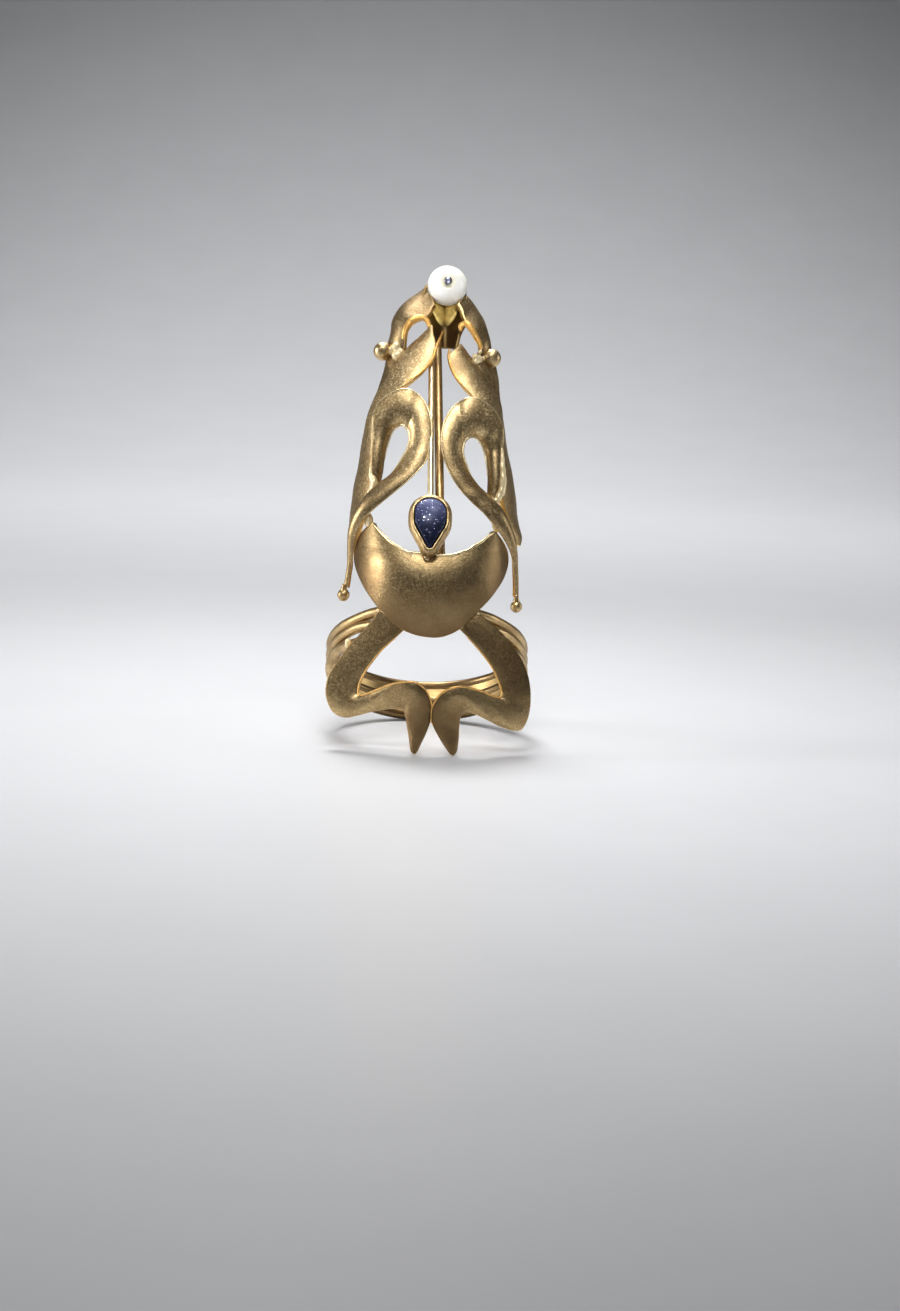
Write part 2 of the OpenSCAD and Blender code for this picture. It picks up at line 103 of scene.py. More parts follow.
# Arms that run on as claws, from the crescent to the claws' tips, each arm's x counted to its own side
# columns: left arm's outer edge x, z and inner edge x, z, the right arm's, outer edges' y, inner edges' y
ARMS = [
    [5.1, 13.9, 2.7, 11.95, 4.6, 13.95, 3, 12.3, 3.2, 2.6],
    [6, 12.6, 3.55, 11.15, 5.6, 13.35, 3.85, 11.5, 3.1, 2.4],
    [7.05, 11.3, 4.75, 10, 6.6, 12.55, 4.75, 10.6, 2.95, 2.25],
    [7.95, 10.3, 5.6, 8.9, 7.6, 11.6, 5.65, 9.6, 2.8, 2.15],
    [8.9, 9, 6.3, 7.85, 8.65, 10.4, 6.4, 8.6, 2.6, 2],
    [9.65, 7.8, 6.8, 6.75, 9.5, 9.1, 6.95, 7.55, 2.4, 1.9],
    [10.1, 6.75, 6.95, 6.1, 10.05, 7.65, 7.35, 6.55, 2.2, 1.75],
    [10.2, 5.55, 6.95, 5.6, 10.3, 6.15, 7.45, 6.05, 2, 1.6],
    [9.9, 4.4, 6.75, 5.45, 10.3, 4.65, 7.2, 5.7, 1.85, 1.45],
    [9.3, 3.55, 6.3, 5.55, 10.05, 3.45, 6.8, 5.8, 1.65, 1.25],
    [8.2, 3.15, 5.6, 5.9, 9.5, 2.55, 6.2, 6, 1.45, 1],
    [6.9, 3.45, 4.9, 6.25, 8.6, 2.5, 5.5, 6.35, 1.2, 0.7],
    [5.4, 3.95, 4.15, 6.65, 7.35, 2.9, 4.7, 6.6, 0.9, 0.4],
    [3.9, 4.35, 3.3, 7, 6.05, 3.55, 3.85, 6.85, 0.5, 0],
    [2.9, 4.55, 2.25, 7.25, 4.75, 4.15, 2.95, 6.95, 0.2, -0.4],
    [2.4, 4.4, 1.3, 7.25, 3.9, 4.4, 2, 6.7, 0.05, -0.55],
    [2.25, 3.95, 0.4, 6.65, 3.4, 4.15, 1.15, 6.05, -0.05, -0.5],
    [2.1, 3.35, -0.15, 5.75, 3.25, 3.55, 0.6, 5.15, -0.1, -0.35],
    [1.95, 2.6, -0.4, 4.65, 3.2, 2.65, 0.35, 4.05, -0.15, -0.15],
    [1.8, 1.85, -0.3, 3.3, 3.2, 1.75, 0.6, 2.95, -0.2, -0.2],
    [1.7, 1.25, 0.1, 2.05, 3.15, 1.05, 1.15, 1.9, -0.25, -0.25],
    [1.6, 0.7, 0.5, 1.1, 3.1, 0.6, 1.7, 1.05, -0.3, -0.3],
    [1.5, 0.3, 0.75, 0.5, 3, 0.3, 2.1, 0.5, -0.3, -0.3],
    [1.3, 0.1, 0.95, 0.15, 2.8, 0.1, 2.4, 0.15, -0.4, -0.4]]
# How far arms and claws bulge, the row where the claws start, and where and how much their sheet thins
ARM_BULGE = 0.2
CLAW_BULGE = 0.45
CLAW_FROM = 13
THIN_FROM = 0.86
THINNER = 0.4

# How much painted shade darkens each piece, from 0 to 1; a pair of lists gives rows of the piece's table and
# the painted shade there
LOOP_SHADE = ([3, 7, 16, 20, 25], [0.3, 0, 0, 0.5, 0.3])
NECK_SHADE = {"left": ([0, 12, 16], [0.1, 0, 0.4]), "right": ([3, 8, 10, 14], [0.35, 0.2, 0.1, 0.4])}
ARM_SHADE = {"left": ([1, 8, 12, 17], [0.4, 0, 0, 0.8]), "right": ([1, 6, 10, 13, 17], [0.6, 0.7, 0, 0, 0.8])}
WING_SHADE = 0.45
CRESCENT_SHADE = 0.9
BAND_SHADE = 0.7
STRAP_SHADE = 0.6

# Lines of an arm's and a loop's grid that the painted highlight lines on their edges cover
ARM_LINE = slice(6, 142)
LOOP_OUTER_LINE = slice(18, 200)
LOOP_INNER_LINE = slice(14, 150)

# Necks that run down as side walls, loops that run out as tails, and the wings of the hood
# columns: outer edge x, z, inner edge x, z, outer edge y, inner edge y, crown as a part of half the width
LEFT_NECK = [
    [-1.05, 42.25, -0.7, 42.25, 16.1, 16, 0.11],
    [-1.2, 41.9, -0.6, 41.45, 16, 15.5, 0.14],
    [-1.55, 41.5, -0.35, 40.6, 15.9, 15, 0.15],
    [-2, 41.05, -0.3, 39.8, 15.8, 14.5, 0.17],
    [-2.6, 40.5, -0.55, 39.1, 15.6, 13.95, 0.17],
    [-3.15, 39.95, -1, 38.35, 15.4, 13.4, 0.17],
    [-3.65, 39.35, -1.5, 37.7, 15.2, 12.95, 0.17],
    [-4.15, 38.7, -2.2, 37.05, 15, 12.5, 0.17],
    [-4.55, 37.9, -2.85, 36.55, 14.7, 12.2, 0.17],
    [-5.05, 37.05, -3.5, 36.1, 14.4, 12, 0.17],
    [-5.6, 36.15, -4.25, 35.5, 14.1, 11.9, 0.17],
    [-6.15, 35.25, -4.85, 34.8, 13.8, 11.8, 0.17],
    [-6.6, 34.3, -5.4, 33.95, 13.6, 11.6, 0.17],
    [-6.95, 33.35, -5.9, 33.05, 13.4, 11.3, 0.15],
    [-7.25, 32.2, -6.15, 31.9, 13.2, 10.9, 0.14],
    [-7.45, 30.85, -6.2, 30.6, 13, 10.4, 0.12],
    [-7.7, 29.2, -6.2, 29.2, 12.8, 9.9, 0.11],
    [-7.9, 27.4, -6.25, 27.7, 12.6, 9.4, 0.11],
    [-8.25, 25.65, -6.45, 26.2, 12.3, 9, 0.11],
    [-8.4, 24.05, -6.8, 24.65, 11.9, 8.7, 0.11],
    [-8.55, 22.5, -7.25, 23.2, 11.3, 8.6, 0.11],
    [-8.6, 21.1, -7.7, 21.65, 10.6, 8.6, 0.11],
    [-8.6, 19.9, -8.05, 20.2, 9.9, 8.6, 0.11],
    [-8.55, 18.85, -8.25, 18.95, 9.2, 8.6, 0.11]]
RIGHT_NECK = [
    [2.4, 40.5, 1.95, 40.1, 15.8, 15.4, 0.11],
    [2.6, 40.25, 1.45, 39.7, 15.7, 15, 0.13],
    [2.85, 39.95, 1.15, 39.3, 15.6, 14.7, 0.14],
    [3.35, 39.3, 1.3, 38.55, 15.4, 14.2, 0.17],
    [3.85, 38.75, 1.6, 37.8, 15.2, 13.7, 0.17],
    [4.35, 38.15, 2.05, 37.05, 15, 13.2, 0.17],
    [4.85, 37.45, 2.65, 36.35, 14.7, 12.75, 0.17],
    [5.25, 36.7, 3.35, 35.7, 14.4, 12.35, 0.17],
    [5.7, 35.95, 4, 35.1, 14.1, 12.05, 0.17],
    [6.15, 35.2, 4.7, 34.55, 13.85, 11.85, 0.17],
    [6.6, 34.25, 5.35, 33.85, 13.65, 11.65, 0.17],
    [6.95, 33.15, 5.85, 32.9, 13.4, 11.35, 0.15],
    [7.2, 31.95, 6.3, 31.8, 13.2, 10.95, 0.14],
    [7.4, 30.6, 6.55, 30.6, 13, 10.5, 0.12],
    [7.7, 29.15, 6.65, 29.3, 12.8, 10, 0.11],
    [8.1, 27.65, 6.75, 27.9, 12.6, 9.6, 0.11],
    [8.4, 26.1, 6.9, 26.5, 12.3, 9.2, 0.11],
    [8.65, 24.6, 7.15, 25.1, 12, 8.9, 0.11],
    [8.8, 23.15, 7.5, 23.85, 11.5, 8.75, 0.11],
    [9.05, 22, 7.95, 22.65, 10.9, 8.75, 0.11],
    [9.3, 21, 8.4, 21.45, 10.2, 8.85, 0.11],
    [9.15, 20.25, 8.8, 20.4, 9.6, 9, 0.11]]
LEFT_LOOP = [
    [-6.45, 26.05, -5.5, 26.05, 8.7, 8.9, 0.3],
    [-6.5, 27.25, -5.25, 27.25, 8.8, 9.5, 0.55],
    [-6.55, 28.95, -5.1, 29.05, 9.3, 10.1, 0.62],
    [-6.5, 30.45, -4.8, 30.35, 9.9, 10.7, 0.62],
    [-6.45, 31.65, -4.45, 31.35, 10.2, 10.9, 0.5],
    [-6.45, 32.85, -4.05, 31.75, 10.5, 10.8, 0.38],
    [-6, 33.95, -3.7, 31.95, 10.75, 10.6, 0.3],
    [-5.15, 34.9, -3.45, 32.05, 10.9, 10.4, 0.27],
    [-4.05, 35.55, -3.25, 32, 10.9, 10.2, 0.25],
    [-2.9, 35.65, -3.05, 31.75, 10.75, 10.1, 0.24],
    [-1.95, 35.15, -2.85, 31.5, 10.6, 10, 0.24],
    [-1.2, 34.35, -2.75, 31.1, 10.2, 9.7, 0.24],
    [-0.75, 33.3, -2.7, 30.65, 9.7, 9.4, 0.25],
    [-0.5, 31.9, -2.8, 30.15, 9.1, 9.2, 0.26],
    [-0.5, 30.65, -2.95, 29.6, 8.6, 9, 0.27],
    [-0.75, 29.45, -3.3, 29, 8.1, 8.8, 0.28],
    [-1.2, 28.4, -3.65, 28.35, 7.7, 8.6, 0.3],
    [-2, 27.45, -4.15, 27.6, 7.3, 8.4, 0.3],
    [-2.85, 26.6, -4.75, 26.95, 7, 8.2, 0.32],
    [-3.8, 25.75, -5.55, 26.35, 6.8, 8, 0.33],
    [-4.6, 25.05, -6.25, 25.7, 6.7, 7.9, 0.34],
    [-5.45, 24.3, -6.95, 24.95, 6.6, 7.8, 0.36],
    [-6.15, 23.65, -7.55, 24.15, 6.6, 7.8, 0.38],
    [-6.75, 22.95, -8, 23.35, 6.7, 7.9, 0.42],
    [-7.3, 22.2, -8.35, 22.45, 6.9, 8.1, 0.48],
    [-7.7, 21.2, -8.55, 21.4, 7.2, 8.3, 0.55],
    [-7.9, 20.05, -8.6, 20.15, 7.5, 8.4, 0.6],
    [-8.05, 18.9, -8.55, 18.9, 7.7, 8.5, 0.6],
    [-8.15, 17.75, -8.55, 17.8, 7.9, 8.5, 0.6],
    [-8.3, 16.6, -8.7, 16.65, 8, 8.5, 0.6],
    [-8.5, 15.45, -8.85, 15.5, 8.1, 8.5, 0.6]]
RIGHT_LOOP = [
    [6.45, 24.7, 5.45, 25.15, 8.5, 8.7, 0.3],
    [6.6, 26.15, 5.45, 26.25, 8.8, 9.5, 0.55],
    [6.7, 27.55, 5.45, 27.45, 9.2, 10, 0.62],
    [6.7, 28.85, 5.3, 28.55, 9.7, 10.4, 0.64],
    [6.8, 30.05, 5.1, 29.5, 10.2, 10.8, 0.6],
    [6.9, 31.1, 4.75, 30.3, 10.4, 10.9, 0.5],
    [6.85, 32.1, 4.35, 30.85, 10.7, 10.8, 0.38],
    [6.5, 33.05, 4.05, 31.05, 10.85, 10.6, 0.32],
    [5.95, 33.85, 3.75, 31.1, 10.9, 10.4, 0.28],
    [5.15, 34.5, 3.45, 31.05, 10.9, 10.2, 0.26],
    [4.15, 35, 3.25, 30.95, 10.8, 10.05, 0.25],
    [3.05, 35, 3.05, 30.7, 10.65, 9.95, 0.24],
    [2.15, 34.5, 2.9, 30.45, 10.6, 9.9, 0.24],
    [1.4, 33.75, 2.85, 30.1, 10.2, 9.7, 0.24],
    [0.85, 32.65, 2.8, 29.7, 9.7, 9.5, 0.25],
    [0.6, 31.45, 2.9, 29.2, 9.1, 9.3, 0.26],
    [0.6, 30.3, 3.05, 28.7, 8.6, 9.1, 0.27],
    [0.8, 29.3, 3.3, 28.15, 8.2, 8.9, 0.28],
    [1.2, 28.2, 3.6, 27.5, 7.8, 8.7, 0.3],
    [1.75, 27.2, 4.05, 26.9, 7.4, 8.5, 0.3],
    [2.45, 26.2, 4.55, 26.3, 7.1, 8.3, 0.32],
    [3.3, 25.3, 5.2, 25.75, 6.8, 8.1, 0.33],
    [4.15, 24.5, 5.8, 25.25, 6.7, 8, 0.34],
    [5, 23.8, 6.45, 24.65, 6.6, 7.9, 0.36],
    [5.75, 23, 7.1, 23.95, 6.6, 7.8, 0.4],
    [6.5, 22.1, 7.7, 22.95, 6.8, 8, 0.46],
    [7.15, 21.2, 8.2, 21.85, 7.1, 8.2, 0.55],
    [7.75, 20.25, 8.55, 20.7, 7.4, 8.4, 0.6],
    [8.15, 19.3, 8.75, 19.55, 7.7, 8.5, 0.6],
    [8.4, 18.3, 8.85, 18.45, 7.9, 8.5, 0.6],
    [8.55, 17.25, 8.95, 17.3, 8, 8.5, 0.6],
    [8.65, 16.2, 9.05, 16.2, 8.1, 8.5, 0.6],
    [8.75, 15.15, 9.1, 15.15, 8.2, 8.5, 0.6]]
LEFT_WING = [
    [-1.3, 46.45, -0.6, 44.5, 20.6, 17.25, 0.22],
    [-2.25, 45.7, -0.85, 44.05, 20.3, 17.05, 0.24],
    [-3.2, 45, -1, 43.65, 19.95, 16.85, 0.25],
    [-3.9, 44.35, -1.25, 43.35, 19.6, 16.65, 0.27],
    [-4.4, 43.7, -1.85, 43.15, 19.3, 16.5, 0.28],
    [-4.75, 43, -2.35, 42.95, 19, 16.35, 0.29],
    [-4.95, 42.35, -2.85, 42.6, 18.7, 16.2, 0.29],
    [-5, 41.65, -3.25, 42.1, 18.4, 16.1, 0.29],
    [-5.1, 40.95, -3.5, 41.5, 18.1, 16, 0.29],
    [-5.25, 40.3, -3.55, 40.75, 17.8, 15.8, 0.28],
    [-5.3, 39.45, -3.6, 39.9, 17.4, 15.55, 0.25],
    [-5.4, 38.6, -3.7, 38.9, 17, 15.3, 0.21],
    [-5.5, 37.8, -4.2, 37.95, 16.6, 15, 0.17],
    [-5.7, 36.95, -4.7, 37.05, 16.2, 14.7, 0.14],
    [-5.95, 36.1, -5.2, 36.2, 15.7, 14.4, 0.11],
    [-6.2, 35.25, -5.75, 35.35, 15.2, 14.1, 0.08],
    [-6.6, 34.3, -6.25, 34.35, 14.6, 13.85, 0.07],
    [-6.9, 33.3, -6.7, 33.35, 14, 13.6, 0.07]]
RIGHT_WING = [
    [2.85, 45.65, 2.1, 44.75, 20.6, 17.3, 0.22],
    [3.4, 45.15, 2.5, 44.05, 20.3, 17, 0.24],
    [3.85, 44.6, 2.7, 43.3, 20, 16.7, 0.25],
    [4.3, 43.95, 2.95, 42.75, 19.7, 16.4, 0.27],
    [4.7, 43.35, 3.3, 42.35, 19.4, 16.2, 0.28],
    [5, 42.7, 3.7, 41.85, 19, 16, 0.29],
    [5.25, 41.95, 4.1, 41.2, 18.6, 15.9, 0.29],
    [5.45, 41.2, 4.5, 40.6, 18.2, 15.8, 0.29],
    [5.65, 40.35, 4.6, 39.85, 17.8, 15.7, 0.28],
    [5.85, 39.55, 4.3, 39.15, 17.4, 15.5, 0.24],
    [6.1, 38.7, 4.2, 38.45, 17, 15.25, 0.2],
    [6.3, 37.85, 4.7, 37.6, 16.5, 14.95, 0.15],
    [6.5, 36.8, 5.15, 36.65, 16, 14.6, 0.13],
    [6.6, 35.8, 5.75, 35.7, 15.5, 14.2, 0.1],
    [6.7, 34.85, 6.2, 34.75, 14.9, 13.95, 0.08],
    [6.9, 33.95, 6.55, 33.85, 14.4, 13.8, 0.07],
    [7, 33.05, 6.9, 32.95, 13.8, 13.55, 0.07]]
DROPS = ((-8.85, 8.3, 14.6), (8.9, 8.3, 14.05))
DROP_R = 0.62
# Columns of those tables that give an edge's x, y and z
OUTER = [0, 4, 1]
INNER = [2, 5, 3]

# Rolled edges of the tear-shaped holes
# columns: x, y, z
LEFT_ROLL = [
    [-3.65, 16.05, 39.5], [-3.6, 16.1, 40.4], [-3.55, 16.15, 41.25], [-3.35, 16.25, 42],
    [-2.95, 16.35, 42.6], [-2.4, 16.45, 42.95], [-1.75, 16.5, 43.05], [-1.2, 16.45, 42.7],
    [-0.95, 16.2, 42.1]]
RIGHT_ROLL = [
    [2.3, 16.4, 41.95], [2.3, 16.5, 42.35], [2.65, 16.55, 42.6], [3.05, 16.4, 42.5],
    [3.4, 16.25, 42.1], [3.8, 16.1, 41.5], [4.2, 16, 40.85], [4.55, 15.9, 40.2]]
ROLL_R = 0.18
ROLL_SWELL = 0.16

# Lips along the lower edges of the necks
# columns: x, y, z
LEFT_LIP = [
    [0.5, 17.6, 41.75], [0.25, 16.4, 41.15], [0, 15.4, 40.55], [-0.25, 14.75, 39.9],
    [-0.45, 14.2, 39.2], [-0.8, 13.65, 38.5], [-1.35, 13.15, 37.8], [-2.1, 12.7, 37.1],
    [-2.9, 12.35, 36.6], [-3.55, 12.15, 36.1]]
RIGHT_LIP = [
    [1.2, 15.2, 39.9], [1.1, 14.8, 39.25], [1.25, 14.35, 38.5], [1.55, 13.85, 37.75],
    [2, 13.35, 37], [2.6, 12.9, 36.3], [3.3, 12.5, 35.65]]
LIP_R = 0.10
LIP_SWELL = 0.09

# Pocket of the hood behind the slot, from its lower edge up
# columns: left edge x, y, z, right edge x, y, z, seam x, y, z
POCKET = [
    [-0.55, 16.1, 40.2, 2.1, 16, 39.9, 0.8, 18.8, 39.95],
    [-1, 16.75, 41.6, 2.4, 16.65, 41.4, 0.7, 19.8, 41.7],
    [-1.4, 17.3, 42.7, 2.95, 17.45, 42.6, 0.6, 20.4, 43],
    [-1.85, 17.85, 44, 3.1, 17.95, 43.9, 0.6, 20.9, 44.4],
    [-1.85, 18.45, 45.2, 3, 18.55, 45.1, 0.6, 21.3, 45.8],
    [-1.6, 19.1, 46.3, 2.7, 19.2, 46.2, 0.6, 21.5, 46.9]]
POCKET_SHEET = 0.35
LOBE = 0.35
LOBE_LOW, LOBE_HIGH = 42.2, 44.6

# Pearl on its pin, and the hole with its dent and stain; places along the pin count from the pearl's middle
# to the front
PEARL_AT = (0.8, 18.8, 46.5)
PEARL_R = 2.1
PEARL_GAP = 0.04
PIN_TILT = 12
HOLE_R = 0.33
HOLE_DENT = 0.2
HOLE_DENT_W = 0.3
STAIN_W = 0.45
# Pin from its back end to its domed head
# columns: radius, place
PIN = [
    [0.12, -3.55], [0.21, -3.52], [0.25, -3.45], [0.25, 0], [0.25, 2.12], [0.33, 2.14],
    [0.42, 2.21], [0.41, 2.3], [0.33, 2.37], [0.17, 2.4]]

# Beads at the hood's sides
BEADS = ((-5.75, 16.70, 39.40), (5.65, 16.35, 39.15))
BEAD_R = 0.98
# Solder beside each bead
# columns: x, y, z, radius
LEFT_SOLDER = [
    [-4.95, 16.45, 39.45, 0.5], [-4.35, 15.95, 39.9, 0.5], [-4.3, 15.65, 39, 0.52],
    [-3.85, 15.7, 39.45, 0.4]]
RIGHT_SOLDER = [
    [4.85, 16.2, 39.05, 0.5], [4.3, 15.7, 38.95, 0.5], [3.9, 15.35, 39.2, 0.38],
    [3.95, 15.2, 38.7, 0.36], [4.45, 15.9, 39.75, 0.3]]
# Solder between the loops, the walls and the tails
# columns: x, y, z, radius
LEFT_SEAM = [
    [-6.45, 10.1, 29.6, 0.16], [-6.4, 9.6, 28.5, 0.22], [-6.4, 9.2, 27.5, 0.3],
    [-6.3, 8.8, 26.6, 0.38], [-6.15, 8.5, 25.9, 0.42], [-6.5, 8.35, 25.2, 0.34]]
RIGHT_SEAM = [
    [6.8, 10.3, 30, 0.16], [6.85, 9.9, 29, 0.24], [6.95, 9.5, 27.9, 0.32], [7, 9.2, 26.8, 0.38],
    [6.9, 8.9, 25.8, 0.4], [6.4, 8.5, 24.9, 0.36], [5.9, 8.35, 24.95, 0.3]]

# Rods: top, foot and radius
FRONT_ROD = ((-0.72, 16.05, 40.45), (-0.40, 4.85, 25.25), 0.32)
REAR_ROD = ((-0.05, 18.65, 40.6), (0.90, 3.0, 17.6), 0.45)

# Stone: the middle of its round head, its lean from the upright, its outline, and its height over the girdle
STONE_AT = (-0.4, 3.8, 23.45)
STONE_LEAN = 27
STONE_W = 3.05
STONE_L = 5.2
STONE_TIP_R = 0.2
STONE_BELLY = 0.7
STONE_MID = (STONE_W - STONE_L) / 2
STONE_TOP = 1.5
STONE_BASE = -0.28
STONE_DOME_R = 5
STONE_PLAY = 0.01
OUTLINE = 112

# Cup of the stone, from its bottom up the outside and down the inside
# columns: distance outside the stone's outline, height over the stone's girdle
CUP = [
    [0.6, -0.72], [0.66, -0.2], [0.63, 0.25], [0.52, 0.52], [0.43, 0.67], [0.36, 0.74],
    [0.18, 0.78], [0.09, 0.73], [0.05, 0.62], [0.04, 0.4], [0.04, -0.3]]
CUP_BOTTOM = -0.75
CUP_FLOOR = -0.3
CUP_RAGGED = 0.03
# Legs of the cup, down into the crescent's notch
# columns: x, y, z, radius
LEFT_LEG = [
    [-1.75, 3.6, 22, 0.25], [-1.4, 3.3, 21.1, 0.28], [-1.15, 3.05, 20.4, 0.28],
    [-1.05, 2.95, 19.9, 0.26], [-1, 2.95, 19.6, 0.24]]
RIGHT_LEG = [
    [0.9, 3.6, 22, 0.25], [0.6, 3.3, 21.1, 0.3], [0.35, 3.05, 20.4, 0.3], [0.2, 2.95, 19.9, 0.28],
    [0.15, 2.95, 19.6, 0.26]]

# Wires of the band from the top one down
# columns: angle from the front where the wire's arc starts, end on the sheet x, y, z
WIRES = [
    [40, 4.4, 3.95, 13.75],
    [50, 5.3, 3.85, 12.3],
    [66, 7.2, 3.7, 10.4]]
# Middle of the top wire, its radius and tilt, and how far apart the wires are at the front and at the back
BAND_Y = 11.8
BAND_Z = 8.8
BAND_R = 10
BAND_TILT = np.radians(33)
WIRE_R = 0.55
PITCH_FRONT = 0.9
PITCH_BACK = 1.72

# Solder between the crescent and the arms
# columns: x, y, z, radius
LEFT_ARM_SEAM = [
    [-5.25, 3.5, 13.8, 0.16], [-4.6, 3.25, 13.55, 0.13], [-4.05, 3, 13.25, 0.11],
    [-3.3, 2.75, 12.85, 0.11], [-2.75, 2.6, 12.6, 0.1]]
RIGHT_ARM_SEAM = [
    [4.7, 3.35, 13.8, 0.24], [4.25, 3.15, 13.35, 0.2], [3.85, 2.95, 13, 0.18],
    [3.4, 2.75, 12.65, 0.14], [3.05, 2.55, 12.45, 0.11]]
# Larger lumps of solder, on the crescent's tips and on the left arm
# columns: x, y, z, radius in x, in y, in z, roughness
LUMPS = [
    [-6.5, 7.4, 22.4, 0.45, 0.6, 0.8, 0.08],
    [6.5, 7.4, 22.4, 0.45, 0.6, 0.8, 0.08],
    [-8.15, 3.35, 10.35, 0.34, 0.4, 0.55, 0.04]]


def unit(v):
    """Vectors made one long."""
    return v / np.maximum(np.linalg.norm(v, axis=-1, keepdims=True), 1e-9)


def curve(rows, s):
    """Smooth curve through the rows of a table at the places s, counted in rows."""
    rows = np.asarray(rows, float)
    last = len(rows) - 1
    i = np.clip(np.floor(s).astype(int), 0, last - 1)
    t = (s - i)[:, None]
    a, b, c, d = rows[np.maximum(i - 1, 0)], rows[i], rows[i + 1], rows[np.minimum(i + 2, last)]
    return b + t * (c - a + t * (2 * a - 5 * b + 4 * c - d + t * (3 * b - a - 3 * c + d))) / 2


def between(r, first, last, v):
    """Values from one column of a table's rows to another, at the part v of the way."""
    return r[..., first] + (r[..., last] - r[..., first]) * v


def turns(count):
    """Angles of a whole turn in even steps."""
    return np.linspace(0, 2 * np.pi, count, endpoint=False)


def steps(rows, count):
    """Even places along a table for curve()."""
    return np.linspace(0, len(rows) - 1, count + 1)


# Waves of the unevenness: their directions times their frequency, and their phases
WAVE_COUNT = 14
WAVES = unit(rng.normal(size=(WAVE_COUNT, 3))) * rng.uniform(1.2, 4.2, (WAVE_COUNT, 1))
PHASES = rng.uniform(0, 2 * np.pi, WAVE_COUNT)


def uneven(p, fine=1.0):
    """Gentle unevenness of hand-worked metal at points p, about -1 to 1."""
    return np.sin(p @ (WAVES.T * fine) + PHASES).sum(-1) / 5


def smooth_mesh(name, points, faces):
    """New mesh that is shaded smooth."""
    mesh = bpy.data.meshes.new(name)
    mesh.from_pydata(points, [], faces)
    mesh.polygons.foreach_set("use_smooth", [True] * len(faces))
    return mesh


def put(name, data):
    """New object in the scene for a mesh, a lamp or a camera."""
    made = bpy.data.objects.new(name, data)
    bpy.context.scene.collection.objects.link(made)
    return made


def build(name, points, faces, material, tone=None, node="ring_frame", slot="gold", dark=None):
    """Piece of the ring from points in millimetres; what would reach below the floor is worn flat.

    The attributes tone and dark say for each point where it is on its piece and how much painted shade
    darkens it."""
    points = np.asarray(points) - (0, MIDDLE_Y, 0)
    points[:, 2] = np.maximum(points[:, 2], 0)
    mesh = smooth_mesh(name, (points * MM).tolist(), faces)
    for layer, values in (("tone", tone), ("dark", dark)):
        values = np.zeros(len(points)) if values is None else np.asarray(values, float)
        mesh.attributes.new(layer, "FLOAT", "POINT").data.foreach_set("value", values)
    mesh.validate()
    mesh.materials.append(material)
    piece = put(name, mesh)
    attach(piece, "root")
    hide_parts(node)


# Places of a sheet's rim on the half circle from its outside to its back
RIM_ARC = np.radians([22, 45, 67, 90, 113, 135, 158])


def normals(grid):
    """Directions out of the outside of a grid, whose rows run up and columns to the right."""
    return unit(np.cross(np.gradient(grid, axis=1), np.gradient(grid, axis=0)))


def border(values):
    """Values around a grid: its first row, right side, last row backwards and left side down."""
    return np.concatenate([values[0], values[1:, -1], values[-1, -2::-1], values[-2:0:-1, 0]])


def sheet_mesh(grid, thick, rim, square=0.6):
    """Closed sheet with rounded edges below a grid; its tone is 0 outside, 0.5 on the rim and 1 behind."""
    n, m = grid.shape[:2]
    size = n * m
    thick = np.broadcast_to(np.reshape(thick, (-1, 1)), (n, m))[..., None]
    out = normals(grid)
    back = grid - thick * out
    edge, out, half = border(grid), border(out), border(thick) / 2
    count = len(edge)
    away = unit(np.cross(unit(np.roll(edge, -1, 0) - np.roll(edge, 1, 0)), out))
    arcs = [edge - out * half + out * half * np.sign(np.cos(a)) * abs(np.cos(a)) ** square
            + away * rim * np.sin(a) ** square for a in RIM_ARC]
    points = np.concatenate([grid.reshape(-1, 3), back.reshape(-1, 3)] + arcs)
    tone = np.repeat([0, 1, 0.5], [size, size, count * len(arcs)])
    spots = np.arange(size).reshape(n, m)
    faces = []
    for a in spots[:-1, :-1].ravel().tolist():
        b = size + a
        faces += [(a, a + 1, a + m + 1, a + m), (b, b + m, b + m + 1, b + 1)]
    loops = [border(spots)] + [2 * size + k * count + np.arange(count) for k in range(len(arcs))]
    loops.append(size + border(spots))
    for upper, lower in zip(loops, loops[1:]):
        faces += np.stack([upper, lower, np.roll(lower, -1), np.roll(upper, -1)], 1).tolist()
    return points, faces, tone


def seated(points):
    """Points moved clear of the pearl."""
    middle, reach = np.array(PEARL_AT), PEARL_R + PEARL_GAP
    away = points - middle
    far = np.linalg.norm(away, axis=1, keepdims=True)
    return np.where(far < reach, middle + away / far * reach, points)


def sheet(name, grid, thick, material, dark, **more):
    """Piece of sheet below a grid; dark is one number or one for each row of the grid."""
    grid = grid - SHEET_UNEVEN * uneven(grid)[..., None] * normals(grid)
    points, faces, tone = sheet_mesh(grid, thick, **more)
    dark = np.broadcast_to(dark, grid.shape[:2])
    dark = np.concatenate([dark.ravel(), dark.ravel()] + [border(dark)] * len(RIM_ARC))
    build(name, seated(points), faces, material, tone, dark=dark)


def painted_shade_rows(grid, rows, dull):
    """How much painted shade darkens each row of a grid, from places in the rows of its table."""
    return np.interp(np.linspace(0, len(rows) - 1, len(grid)), *dull)[:, None]


def swollen(count, ends, more, power=1.0):
    """Radii of a tube that grows from both ends to its middle."""
    return ends + more * np.sin(np.linspace(0, np.pi, count)) ** power


def line_on(name, edge, inside, radius, out, material):
    """Thin raised line along an edge whose bright metal is a painted highlight; inside is the next line of
    the sheet.
    """
    path = edge + out * unit(edge - inside) + (0, 0.02, 0)
    build(name, *tube_mesh(path, radius * swollen(len(path), 0.3, 0.7, 0.3), 12), material)


# Roughly to the front of the ring
TO_FRONT = (0, -1, 0.3)


